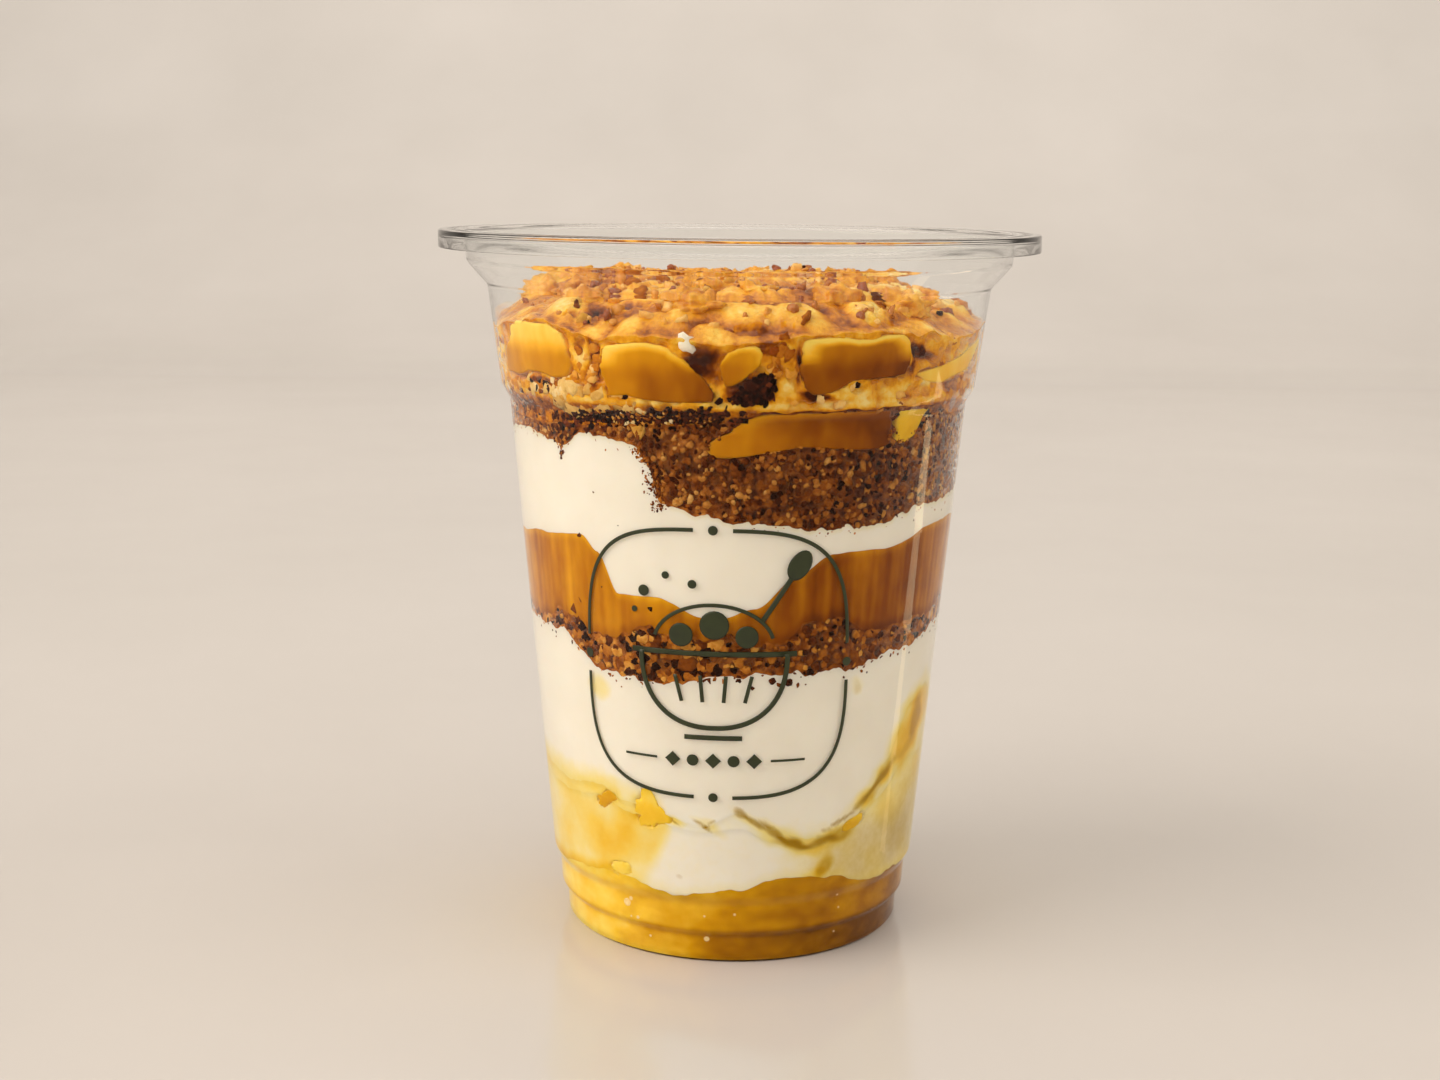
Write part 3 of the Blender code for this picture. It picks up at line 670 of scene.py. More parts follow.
def make_layer(name, bottom, top, segments, row, paint, recess=None, discs=TOP_SHARES):
    """One layer that fills the cup between two surfaces, with its side just inside the wall.

    A grid is rolled up: its rows are moved on to the top surface, the wall and the bottom in turn.
    paint gives the values of the layer's attributes at an angle, a height and a share of the radius,
    recess how far the side lies back from the wall, and row the height of a row there.
    """
    bottom, top = surface(bottom), surface(top)
    tallest = max(top(angle, 1.0) - bottom(angle, 1.0) for angle in range(-180, 180, 5))
    rows = max(3, math.ceil(tallest / row))
    rings = [("top", share) for share in (0.0, *discs)]
    rings += [("wall", 1 - index / rows) for index in range(rows + 1)]
    rings += [("bottom", share) for share in BOTTOM_SHARES]
    last = len(rings) - 1
    bm = bmesh.new()
    bmesh.ops.create_grid(bm, x_segments=segments, y_segments=last, size=0.5)
    layers = {key: bm.verts.layers.float.new(key) for key in paint(0, 50, 1.0)}
    for vert in bm.verts:
        kind, value = rings[round((vert.co.y + 0.5) * last)]
        angle = vert.co.x * 360
        share = 1.0 if kind == "wall" else value
        low, high = bottom(angle, share), top(angle, share)
        height = {"top": high, "bottom": low}.get(kind, low + (high - low) * value)
        back = 0.0
        if recess and kind == "wall":
            near = min(value, 1 - value) * (high - low)
            back = recess(angle, height) * smooth(0.0, 0.9, near)
        edge = top(angle, 1.0) if kind == "top" else low if kind == "bottom" else height
        radius = (inner_radius(edge) + REACH) * share - back
        vert.co = place(angle, radius, height)
        for key, amount in paint(angle, height, share).items():
            vert[layers[key]] = amount
    bmesh.ops.remove_doubles(bm, verts=bm.verts, dist=0.0005)
    mesh = mesh_from(bm, name)
    mesh.set_sharp_from_angle(angle=math.radians(SHARP_ANGLE))
    return mesh


def nearest(prints, angle, height):
    """Millimetres from a place on the wall to the nearest outline, negative inside it."""
    return min(footprint.off(angle, height) for footprint in prints)


def pocket(prints, angle, height, start, end, depth):
    """How far a layer lies back behind the pieces set in it."""
    return depth * smooth(start, end, nearest(prints, angle, height))


class Patches:
    """Soft patches of colour on the wall: angle, height, half width, half height, tilt and amount."""

    def __init__(self, *rows):
        self.rows = []
        for angle, height, wide, tall, tilt, amount in rows:
            turn = math.radians(tilt)
            scale = math.radians(1) * inner_radius(height)
            self.rows.append((angle, height, scale, math.cos(turn), math.sin(turn), wide, tall, amount))

    def at(self, angle, height):
        total = 0.0
        for middle, up, scale, cos, sin, wide, tall, amount in self.rows:
            across, rise = turn_between(angle, middle) * scale, height - up
            far = ((across * cos + rise * sin) / wide) ** 2 + ((rise * cos - across * sin) / tall) ** 2
            if far < 3:
                total += amount * math.exp(-far * far)
        return total


def thread(width, amount, *points):
    """Patches in a row that make a thin line through places on the wall."""
    rows = []
    for (start, low), (end, high) in zip(points, points[1:]):
        run = math.radians(end - start) * inner_radius((low + high) / 2)
        length = math.hypot(run, high - low)
        tilt = math.degrees(math.atan2(high - low, run))
        rows.append(((start + end) / 2, (low + high) / 2, length * 0.58, width, tilt, amount))
    return rows


def wandered(angle, height, size, depth):
    """A place on the wall moved a little, so that what is painted there has an uneven edge."""
    spot = place(angle, WANDER_RADIUS / size, height / size)
    rise = depth * noise.noise(spot + Vector((9, 0, 0)))
    return angle + depth * 1.7 * noise.noise(spot), height + rise


# How much mango is stirred into the lowest yogurt, by angle.
LOW_TINT = (
    (-150, 0.5), (-120, 0.56), (-90, 0.5), (-60, 0.5), (-42, 0.56), (-31, 0.5), (-25, 0.02),
    (10, 0.0), (20, 0.16), (30, 0.34), (55, 0.42), (75, 0.46), (100, 0.4), (130, 0.2), (158, 0.5),
)
# Where mango gathers in the yogurt, and where its threads and stains are brown.
MANGO_TINT = Patches(
    (-38, 17.5, 5.5, 4.5, 20, 0.22), (-36, 14.6, 2.0, 1.2, 10, 0.35), (-33, 23.5, 2.6, 3.4, 10, 0.25),
    (-39, 26.4, 3.0, 1.4, 25, 0.35), (-25, 26.0, 2.8, 3.4, -10, 0.5), (-17, 24.5, 1.6, 0.9, -10, 0.55),
    (-52, 22, 7, 6, 0, 0.1), (-62, 28, 8, 3, 0, 0.15), (-40, 28.6, 6, 1.6, 8, 0.2),
    (-7, 24.2, 3.0, 0.8, -30, 0.3), (6, 25.0, 4.0, 1.0, -25, 0.35), (14, 22.0, 3.4, 1.8, -20, 0.5),
    (24, 20.2, 4.6, 1.9, -4, 0.5), (33, 21.4, 2.6, 1.5, 10, 0.55), (28, 16.2, 1.4, 2.2, -25, 0.55),
    (24, 14.8, 2.4, 1.4, 20, 0.3), (42, 26.8, 2.4, 1.8, 30, 0.6), (49, 29.6, 2.4, 1.8, 35, 0.55),
    (58, 34, 4.5, 4.5, 40, 0.6), (65, 37, 2.6, 4.4, 10, 0.6), (72, 39, 5, 3.5, 0, 0.5),
    (62, 41, 5, 1.6, 10, 0.3), (-39.5, 45.0, 2.2, 2.0, 0, 0.42), (35, 46.2, 1.6, 1.5, 0, 0.22),
    (58, 24, 5, 4, 20, 0.12), (70, 28, 5, 3, 30, 0.2), (95, 33, 9, 3, -20, 0.5),
    (120, 26, 8, 2.4, -12, 0.5), (150, 23, 9, 2.2, 0, 0.55), (-170, 22.5, 8, 1.8, 0, 0.5),
    (-140, 24, 8, 2.6, 8, 0.5), (-110, 27, 8, 3.0, 5, 0.45), (-85, 28, 7, 2.6, 0, 0.35),
    (176, 16, 6, 2, 0, 0.4), (-128, 45, 3, 2, 0, 0.4), (116, 44, 2.6, 2.2, 0, 0.4),
)
MANGO_STAIN = Patches(
    *thread(0.75, 0.7, (0.5, 26.6), (4.5, 25.6)),
    *thread(0.6, 0.7, (4.5, 25.6), (9.7, 24.0), (15, 21.8)),
    *thread(0.8, 0.6, (14, 21.6), (22, 20.3), (31, 20.6)), (17, 20.9, 3.0, 1.2, -14, 0.3),
    *thread(0.4, 0.7, (27.5, 22.2), (37.5, 24.9)),
    *thread(0.7, 0.55, (37.5, 24.9), (42, 27.0), (52, 31.0)),
    (52, 31.4, 3.4, 1.4, 35, 0.3),
    *thread(0.36, 0.6, (-12, 25.4), (-9, 24.4), (-6, 23.0)),
    *thread(0.3, 0.5, (-8, 23.8), (-4.6, 24.6)),
    *thread(0.5, 0.45, (-43, 24.2), (-35.4, 28.0)), *thread(0.3, 0.55, (-18.4, 24.8), (-15.4, 23.8)),
    (-16, 15.0, 0.9, 0.35, 0, 0.3), (33, 21.2, 2.2, 1.2, 8, 0.35), (28, 16.0, 1.2, 2.0, -25, 0.3),
    (65, 37.5, 1.8, 3.6, 12, 0.12), (45, 27.4, 2.6, 1.4, 30, 0.35), (46, 17, 13, 6.5, 0, 0.34),
    (72, 21, 11, 9, 0, 0.26), (60, 32.5, 2.4, 1.2, 20, 0.3), (35, 46, 1.3, 1.2, 0, 0.25),
    *thread(0.4, 0.6, (86, 35.4), (96, 31.6), (108, 29.0)), *thread(0.4, 0.6, (128, 25.4), (141, 22.6)),
    *thread(0.4, 0.6, (-160, 23), (-146, 23.6), (-132, 26.2)),
    *thread(0.35, 0.5, (-108, 28), (-98, 29.4)),
)


def mango_paint(angle, height, base):
    """Tint and stain where mango is stirred into the yogurt, on top of the layer's own tint."""
    angle, height = wandered(angle, height, 3.0, 0.8)
    return {"tint": base + MANGO_TINT.at(angle, height), "stain": MANGO_STAIN.at(angle, height)}


def low_yogurt_paint(angle, height, share):
    slant = angle - 0.9 * (height - 12) * smooth(-5, -20, angle)
    cloud = noise.noise(place(angle, 7.0, height / 6))
    near_puree = smooth(2.2, 0.0, height - level(PUREE_TOP, angle))
    base = blend(LOW_TINT, slant) * (1 + 0.5 * cloud)
    base += (0.16 + 0.34 * smooth(-32, -50, angle)) * near_puree
    return mango_paint(angle, height, base)


def swirl_paint(angle, height, share):
    cloud = 0.1 * noise.noise(place(angle, 12.0, height / 3))
    return mango_paint(angle, height, 0.75 * blend(LOW_TINT, angle) + 0.06 + cloud)


def middle_yogurt_paint(angle, height, share):
    near_seam = smooth(4.5, 0.0, height - level(SEAM_TOP, angle))
    return mango_paint(angle, height, 0.7 * near_seam * blend(LOW_TINT, angle) - 0.04)


def upper_yogurt_paint(angle, height, share):
    # Painted shade: yellower and browner just under the crumb layer.
    shade_under_crumb = smooth(1.2, 0.0, level(CRUMB_BOTTOM, angle) - height)
    return {"tint": -0.04 + 0.16 * shade_under_crumb, "stain": 0.12 * shade_under_crumb}


# How bright the purée is, by angle: paler and yellower at the left, deep at the right.
PUREE_GLOW = (
    (-150, 0.5), (-120, 0.7), (-90, 0.86), (-60, 0.84), (-38, 0.72), (-18, 0.58), (0, 0.44),
    (18, 0.38), (36, 0.32), (60, 0.25), (80, 0.28), (110, 0.4), (140, 0.34), (165, 0.44),
)


def puree_paint(angle, height, share):
    """Amber with drifts of cream; darker in the ledge at the foot."""
    drift = noise.noise(place(angle, 5.0, height / 3.2))
    drift += 0.6 * noise.noise(place(angle, 12.0, height / 1.5))
    ledge = smooth(1.3, 0.2, abs(height - FOOT_LEDGE[1][1] - 0.4))
    near_top = smooth(2.4, 0.0, level(PUREE_TOP, angle) - height) * smooth(-20, -50, angle)
    foot = smooth(6.2, 4.4, height) * smooth(-34, 14, angle)
    tone = blend(PUREE_GLOW, angle) + 0.16 * drift - 0.14 * ledge + 0.08 * near_top
    return {"tone": tone - 0.22 * foot}


# How light the caramel band is, by angle.
CARAMEL_GLOW = (
    (-150, 0.5), (-110, 0.56), (-80, 0.55), (-58, 0.52), (-45, 0.49), (-36, 0.48), (-22, 0.52),
    (-8, 0.44), (8, 0.38), (24, 0.30), (40, 0.26), (52, 0.30), (64, 0.40), (80, 0.5), (120, 0.42),
    (160, 0.4),
)


def caramel_paint(angle, height, share):
    """Soft vertical streaks, lighter near the yogurt above."""
    streak = noise.noise(place(angle, 14.0, height / 26))
    streak += 0.7 * noise.noise(place(angle, 36.0, height / 30))
    near_top = smooth(1.4, 0.0, level(CARAMEL_TOP, angle) - height)
    near_bottom = smooth(2.0, 0.0, height - level(CARAMEL_BOTTOM, angle))
    tone = blend(CARAMEL_GLOW, angle) - 0.06 + 0.15 * streak + 0.14 * near_top - 0.12 * near_bottom
    return {"tone": tone}


# How toasted the fine crumb layer is, by angle: orange at the left end, hazier at the right.
CRUMB_GLOW = (
    (-150, 0.46), (-90, 0.5), (-60, 0.62), (-36, 0.52), (-14, 0.54), (4, 0.44), (34, 0.38), (46, 0.5),
    (60, 0.6), (80, 0.6), (110, 0.46), (150, 0.44),
)


def crumb_paint(angle, height, share):
    return {"tone": blend(CRUMB_GLOW, angle) - 0.04 + 0.3 * noise.noise(place(angle, 34.0, height))}


# Lighter and darker places in the topping's side: its own tone, and painted shade in the thin
# dark lines under and beside the caramel pieces and in the dark places between them.
SIDE_TONES_AND_SHADE = Patches(
    (-7.6, 97.4, 3.0, 2.8, -35, -0.6), (6.5, 99.6, 2.2, 1.2, 0, -0.45), (3.5, 93.4, 3.2, 2.6, 20, -0.7),
    (10, 97.5, 1.8, 3.0, 0, -0.16), (16.5, 92.2, 2.6, 0.9, -15, -0.5), (44.5, 98.4, 2.8, 1.0, -12, -0.6),
    (11, 93.8, 2.2, 1.3, -20, 0.36), (26, 92.4, 9.0, 1.2, 0, 0.24), (39, 92.8, 3.2, 1.0, 20, 0.26),
    (18, 92.3, 3.2, 0.5, -8, -0.6), (13.0, 97.0, 0.5, 3.4, 0, -0.5), (-33, 97.4, 0.5, 3.2, 0, -0.45),
    (41.6, 97.4, 0.5, 3.0, 0, -0.4), (-12, 90.9, 6.0, 0.35, 0, -0.3), (-52, 93.2, 8.0, 0.5, 0, -0.4),
    (9.6, 99.2, 1.6, 1.0, 20, 0.3), (-2.2, 92.6, 1.2, 1.0, 0, -0.4), (62, 93.6, 6, 0.5, 8, -0.35),
    (42, 91.2, 3.0, 0.7, 0, -0.3), (-33.5, 94.6, 1.6, 2.6, 0, -0.3), (-36.5, 97.6, 2.0, 1.6, 0, 0.24),
    (-48, 91.6, 7.0, 1.2, 0, -0.22), (-34, 91.8, 4.0, 1.2, 0, 0.1), (-28, 90.6, 6.0, 0.8, 0, -0.3),
    (60, 91.4, 9.0, 1.6, 8, -0.22), (56, 100.2, 7.0, 1.2, 0, 0.16), (-60, 89.6, 10, 2.0, 0, -0.18),
    (-10.6, 100.4, 1.6, 1.2, 0, 0.35), (52, 95, 3.0, 1.0, 0, -0.25), (70, 93.0, 6.0, 1.6, 0, 0.12),
    (-74, 96.5, 5.0, 4.0, 0, 0.3), (66, 96.8, 9.0, 2.4, 10, 0.3), (50, 94.6, 3.0, 1.0, 10, 0.3),
    (92, 91.0, 7, 1.4, 0, -0.3), (116, 94.5, 6, 2.0, 10, -0.3), (128, 98.5, 5, 1.6, 0, 0.2),
    (172, 92.0, 8, 1.6, 0, -0.3), (-170, 97.0, 4, 2.0, 20, -0.35), (-150, 93.4, 7, 1.6, 0, 0.2),
    (-134, 90.4, 7, 1.4, 0, -0.3), (-92, 93.0, 6, 1.8, 0, -0.25), (-86, 98.0, 4, 1.6, 0, 0.22),
)


def topping_paint(angle, height, share):
    """Golden glaze with painted shade in its creases, browner where it shows low on the wall."""
    if share < 1:
        x, y, _ = place(angle, HEAP_RADIUS * share, 0)
        lumps, rough = heap_lumps(x, y)
        # Painted shade: the low places between the lumps and the furrow are darker.
        tone = 0.5 + 0.6 * (lumps - 0.5) - 0.8 * furrow(x, y)
        return {"tone": tone + 0.2 * smooth(6, 34, abs(x + 2)) - 0.04 * rough}
    low = smooth(92.4, 88.6, height)
    # Painted highlight: a pale line along the plastic's stacking ledge.
    ledge = smooth(0.8, 0.2, abs(height - STACKING_LEDGE[0][1] - 0.2))
    grain = noise.noise(place(angle, 16.0, height / 2.4))
    angle, height = wandered(angle, height, 1.8, 0.7)
    tone = 0.6 + 0.22 * grain - 0.26 * low + 0.4 * ledge + SIDE_TONES_AND_SHADE.at(angle, height)
    return {"tone": tone}


# The furrow where a sheet of glaze lifts, painted dark inside as shade: two ends on top, its width and
# depth.
FURROW = ((-26.0, -26.5), (-3.0, -28.0))
FURROW_WIDTH = 1.3
FURROW_DEPTH = 1.8


def furrow(x, y):
    """How deep in the furrow a place on top is, from 0 to 1."""
    start, end = Vector(FURROW[0]), Vector(FURROW[1])
    run = end - start
    share = min(1.0, max(0.0, (Vector((x, y)) - start).dot(run) / run.length_squared))
    wave = 1.4 * noise.noise(Vector((x / 6, 3.7, 0)))
    near = start.lerp(end, share) + Vector((0, wave))
    width = FURROW_WIDTH * math.sin(math.pi * (0.12 + 0.76 * share))
    return smooth(width, 0.0, (Vector((x, y)) - near).length)


def heap_lumps(x, y):
    """Rounded lumps with creases between them, and how rough the place is."""
    spot = Vector((x, y, 0))
    rough = smooth(-0.25, 0.3, noise.noise(spot / 13 + Vector((4.1, 0, 0))))
    lumps = min(1.0, abs(noise.noise(spot / 7.5)) * 2.4)
    return lumps, rough


def heap_relief(x, y):
    """Height of the topping's unevenness at a place on top."""
    spot = Vector((x, y, 0))
    lumps, rough = heap_lumps(x, y)
    small = min(1.0, abs(noise.noise(spot / 2.7 + Vector((0, 9, 0)))) * 2.4)
    grit = noise.noise(spot / 0.95)
    return (1.2 * (lumps - 0.5) + (0.25 + 0.7 * rough) * (small - 0.5) + 0.22 * rough * grit
            - FURROW_DEPTH * furrow(x, y))


def dome_base(angle, share):
    """The topping's bare surface, as the part has it."""
    edge = blend(TOPPING_EDGE, angle)
    swell = 0.7 * math.sin(math.radians(3 * angle + 40)) * math.sin(math.pi * share)
    return DOME_HEIGHT + (edge - DOME_HEIGHT) * share ** DOME_POWER + swell


def dome_top(angle, share):
    x, y, _ = place(angle, HEAP_RADIUS * share, 0)
    at_wall = smooth(0.93, 1.0, share)
    relief = heap_relief(x, y) * (1 - at_wall) + ragged(TOPPING_EDGE, angle) * at_wall
    return dome_base(angle, share) + relief


def pits(angle, height, size, start, end, depth):
    """Pits between what touches the wall, of a size and depth."""
    spot = place(angle, inner_radius(height), height)
    return depth * smooth(start, end, noise.noise(spot / size))


def crumb_recess(angle, height):
    """Pits between the crumbs that touch the wall, and pockets behind the pieces set in the layer."""
    holes = pits(angle, height, 1.1, 0.05, -0.35, 0.8) + pits(angle, height, 2.2, 0.1, -0.4, 0.4)
    return REACH + holes + pocket(CRUMB_PRINTS, angle, height, -0.2, -0.9, 2.4)


def granola_recess(angle, height):
    return REACH + pits(angle, height, 1.6, 0.15, -0.4, 1.1)


def topping_recess(angle, height):
    holes = pits(angle, height, 1.7, 0.1, -0.45, 0.9)
    return REACH * 0.5 + holes + pocket(TOPPING_PRINTS, angle, height, -0.15, -0.8, 2.6)


def mango_recess(angle, height):
    return REACH * 0.4 + pocket(MANGO_PRINTS, angle, height, -0.3, -1.0, 2.0)


# The layers below the topping: name, lower and upper surface, segments, row height, paint and recess,
# then material, slot and the node that it replaces.
LAYERS = (
    ("puree_layer", floor_level, PUREE_TOP, 360, 0.5, puree_paint, mango_recess,
     "puree", "mango_puree", "mango_puree"),
    ("yogurt_low", PUREE_TOP, SEAM_BOTTOM, 480, 0.4, low_yogurt_paint, mango_recess,
     "yogurt", "yogurt", "yogurt_bottom"),
    ("mango_swirl", SEAM_BOTTOM, SEAM_TOP, 480, 0.4, swirl_paint, mango_recess,
     "seam", "mango", "mango_seam"),
    ("yogurt_mid", SEAM_TOP, GRANOLA_BOTTOM, 480, 0.6, middle_yogurt_paint, mango_recess,
     "yogurt", "yogurt", "yogurt_middle"),
    ("granola_band", GRANOLA_BOTTOM, CARAMEL_BOTTOM, 600, 0.4, crumb_paint, granola_recess,
     "granola", "granola", "granola_lower"),
    ("caramel_band", CARAMEL_BOTTOM, CARAMEL_TOP, 480, 0.5, caramel_paint, None,
     "caramel", "caramel", "caramel_lower"),
    ("yogurt_high", CARAMEL_TOP, CRUMB_BOTTOM, 480, 0.6, upper_yogurt_paint, None,
     "yogurt", "yogurt", "yogurt_upper"),
    ("crumb_band", CRUMB_BOTTOM, CRUMB_TOP, 720, 0.4, crumb_paint, crumb_recess,
     "crumb", "crumb", "crumb_upper"),
)
HEAP_RINGS = 64
# Faces of the topping that lie this near to the wall and are steeper than this belong to its side.
SIDE_DEPTH = 3.0
SIDE_RISE = 0.6


def make_layers(paints):
    """All the layers, from the purée on the floor to the topping."""
    for name, *shape, finish, slot, node in LAYERS:
        add_piece(name, make_layer(name, *shape), paints[finish], slot, node)
    rings = [ring / HEAP_RINGS for ring in range(1, HEAP_RINGS)]
    mesh = make_layer("topping_heap", CRUMB_TOP, dome_top, 600, 0.4, topping_paint, topping_recess,
                      rings)
    add_piece("topping_heap", mesh, paints["glaze"], "topping", "topping")
    mesh.materials.append(paints["glaze_side"])
    for face in mesh.polygons:
        across, along, height = face.center / MM
        on_wall = math.hypot(across, along) > inner_radius(height) - SIDE_DEPTH
        face.material_index = int(on_wall and abs(face.normal.z) < SIDE_RISE)


def piece_rings(flat, edge, depth):
    """Share of the outline and depth of a piece's rings: its flat face, its rounded edge, its back."""
    rings = [(flat * share, 0.0) for share in (0.25, 0.5, 0.75, 1.0)]
    for turn in map(math.radians, range(15, 91, 15)):
        rings.append((flat + (1 - flat) * math.sin(turn), edge * (1 - math.cos(turn))))
    for turn in map(math.radians, range(12, 85, 12)):
        rings.append((math.cos(turn) ** 0.7, edge + (depth - edge) * math.sin(turn)))
    return [(0.0, 0.0), *rings, (0.0, depth)]


def make_piece(footprint, material, slot, edge=0.5, lumps=0.07):
    """A piece that lies along the wall: a flat face on the wall, a rounded edge, a bulging back.

    The rings of a sphere whose pole points at the wall are moved on to the three in turn.
    """
    body, painted_top_light, painted_left_light, painted_edge_highlight = PIECE_TONES_AND_LIGHT.get(footprint.name, PLAIN_TONE_AND_LIGHT)
    flat = max(0.45, 1 - edge / min(footprint.half_width, footprint.half_height))
    rings = piece_rings(flat, edge, footprint.depth)
    last = len(rings) - 1
    bm = bmesh.new()
    bmesh.ops.create_uvsphere(bm, u_segments=64, v_segments=last, radius=1.0)
    tone_layer = bm.verts.layers.float.new("tone")
    for vert in bm.verts:
        share, depth = rings[round(math.acos(max(-1.0, min(1.0, vert.co.z))) * last / math.pi)]
        way = math.atan2(vert.co.y, vert.co.x)
        across, up = math.cos(way), math.sin(way)
        spot = Vector((2.6 * across, 2.6 * up, footprint.angle))
        size = footprint.reach(way) * share
        size *= 1 + lumps * (noise.noise(spot) + 0.6 * noise.noise(spot * 3.1))
        wide, tall = across * size, up * size
        # Painted light: the upper part and the left side are lighter, with a painted highlight along the
        # upper edge.
        rim = smooth(0.66, 0.92, share) * max(0.0, up) ** 0.6
        top_light_share = smooth(-0.25, 0.55, tall)
        vert[tone_layer] = body + painted_top_light * top_light_share - painted_left_light * wide + painted_edge_highlight * rim
        turned = footprint.angle + math.degrees(wide * footprint.half_width / footprint.radius)
        height = footprint.height + tall * footprint.half_height
        vert.co = place(turned, inner_radius(height) + REACH - depth, height)
    name = footprint.name + "_piece"
    add_piece(name, mesh_from(bm, name), material, slot, footprint.name)


def make_pieces(paints):
    """The caramel, fruit and chocolate pieces that show through the wall."""
    for footprint in (*CARAMEL_PRINTS, SLAB_PRINT):
        make_piece(footprint, paints["caramel"], "caramel")
    make_piece(FRUIT_PRINT, paints["olive_fruit"], "mango")
    make_piece(CHUNK_PRINT, paints["chocolate"], "chocolate", 0.7, 0.16)
    make_piece(SEAM_PRINT, paints["chocolate"], "chocolate", 0.6, 0.3)
    for footprint in MANGO_PRINTS:
        make_piece(footprint, paints["fruit"], "mango", 0.9, 0.3)


CHIP_SHAPES = 7


def chip_shape(seed, fineness, lumpy):
    """Points and triangles of a lumpy chip about one unit in radius."""
    bm = bmesh.new()
    bmesh.ops.create_icosphere(bm, subdivisions=fineness, radius=1.0)
    for vert in bm.verts:
        vert.co *= 1 + lumpy * noise.noise(vert.co * 1.7 + Vector((seed * 5.3, 0, 0)))
        vert.co *= 1 + 0.5 * lumpy * noise.noise(vert.co * 4.1 + Vector((0, seed * 3.1, 0)))
    points = np.array([vert.co[:] for vert in bm.verts])
    faces = np.array([[vert.index for vert in face.verts] for face in bm.faces])
    bm.free()
    return points, faces


def scatter(name, material, slot, places, fineness=1, lumpy=0.5):
    """Joined chips: each place gives a spot, three half sizes, a turn, a tone and how deep it stays."""
    shapes = [chip_shape(seed, fineness, lumpy) for seed in range(CHIP_SHAPES)]
    points, faces, tones = [], [], []
    count = 0
    for index, (spot, sizes, turns, tone, depth) in enumerate(places):
        shape, triangles = shapes[index % CHIP_SHAPES]
        turned = (shape * np.array(sizes)) @ np.array(Euler(turns).to_matrix()).T + np.array(spot)
        limit = np.interp(turned[:, 2], *INSIDE) + REACH - depth
        radius = np.hypot(turned[:, 0], turned[:, 1])
        turned[:, :2] *= np.minimum(1.0, limit / np.maximum(radius, 0.01))[:, None]
        points.append(turned * MM)
        faces.append(triangles + count)
        tones.append(np.full(len(turned), tone))
        count += len(turned)
    mesh = bpy.data.meshes.new(name)
    mesh.from_pydata(np.concatenate(points).tolist(), [], np.concatenate(faces).tolist())
    attribute = mesh.attributes.new("tone", "FLOAT", "POINT")
    attribute.data.foreach_set("value", np.concatenate(tones).astype(np.float32))
    mesh.shade_smooth()
    add_piece(name, mesh, material, slot)


def wall_chip(draw, angle, height, size, tone, flat=0.6, proud=0.0):
    """A chip pressed on the wall from inside: it lies along the wall, its outer side flattened there."""
    sizes = (size * draw.uniform(0.8, 1.3), size * flat, size * draw.uniform(0.7, 1.1))
    tilt, turn = draw.uniform(-0.4, 0.4), draw.uniform(0, math.tau)
    turns = (tilt, turn, math.radians(angle) + draw.uniform(-0.3, 0.3))
    radius = inner_radius(height) + REACH - size * flat * draw.uniform(0.55, 0.9)
    return place(angle, radius, height), sizes, turns, tone, draw.uniform(0.0, 0.1) - proud


def drawn_chip(draw, angle, height, sizes, tones, flat=0.6, proud=PROUD):
    """A chip on the wall, its size and tone drawn between limits."""
    size, tone = draw.uniform(*sizes), draw.uniform(*tones)
    return wall_chip(draw, angle, height, size, tone, flat, proud)


def wall_spots(draw, bottom, top, step):
    """Jittered places on the wall between two levels, evenly spread."""
    around = round(math.tau * MEAN_RADIUS / step)
    for column in range(around):
        start = (column + draw.random()) * 360 / around
        low, high = level(bottom, start), level(top, start)
        for row in range(math.ceil((high - low) / step)):
            angle = start + draw.uniform(-0.5, 0.5) * 360 / around
            height = low + (row + draw.random()) * step
            if height < high:
                yield turn_between(angle, 0), height


def crumb_places():
    """Fine crumbs pressed on the wall in the upper crumb layer."""
    draw = random.Random(PRESSED_SEED)
    places = []
    for angle, height in wall_spots(draw, CRUMB_BOTTOM, CRUMB_TOP, 0.92):
        if nearest(CRUMB_PRINTS, angle, height) < 0.15:
            continue
        size = draw.choice((0.3, 0.38, 0.46, 0.56, 0.7))
        patch = 0.24 * noise.noise(place(angle, MEAN_RADIUS / 3.4, height / 3.4))
        tone = blend(CRUMB_GLOW, angle) + patch + draw.choice((-0.36, -0.2, -0.08, 0.06, 0.18, 0.3))
        places.append(wall_chip(draw, angle, height, size, tone))
    return places


def granola_places():
    """Coarse granola pressed on the wall in the lower band, finer at the right."""
    draw = random.Random(GRANOLA_SEED)
    places = []
    for angle, height in wall_spots(draw, GRANOLA_BOTTOM, CARAMEL_BOTTOM, 1.25):
        fine = 0.6 if -4 < angle < 60 else 1.0
        size = draw.choice((0.45, 0.6, 0.8, 1.05, 1.3)) * fine
        tone = 0.38 + draw.choice((-0.42, -0.3, -0.15, 0.0, 0.12, 0.26, 0.44))
        places.append(wall_chip(draw, angle, height, size, tone))
    return places


def top_places():
    """Where the granola pieces of the part lie on top: angle, radius, height, size and twist."""
    draw = random.Random(CRUMB_SEED)
    golden_turn = 180 * (3 - math.sqrt(5))
    places = []
    for index in range(CRUMBS):
        size = draw.uniform(*CRUMB_SIZES)
        radius = CRUMB_FIELD * math.sqrt((index + 0.5) / CRUMBS)
        angle = (index * golden_turn + draw.uniform(-9, 9)) % 360
        height = dome_base(angle, radius / HEAP_RADIUS) + size * draw.uniform(0.0, 0.3)
        places.append((angle, radius, min(height, CRUMB_CEILING - size), size, draw.random()))
    return places


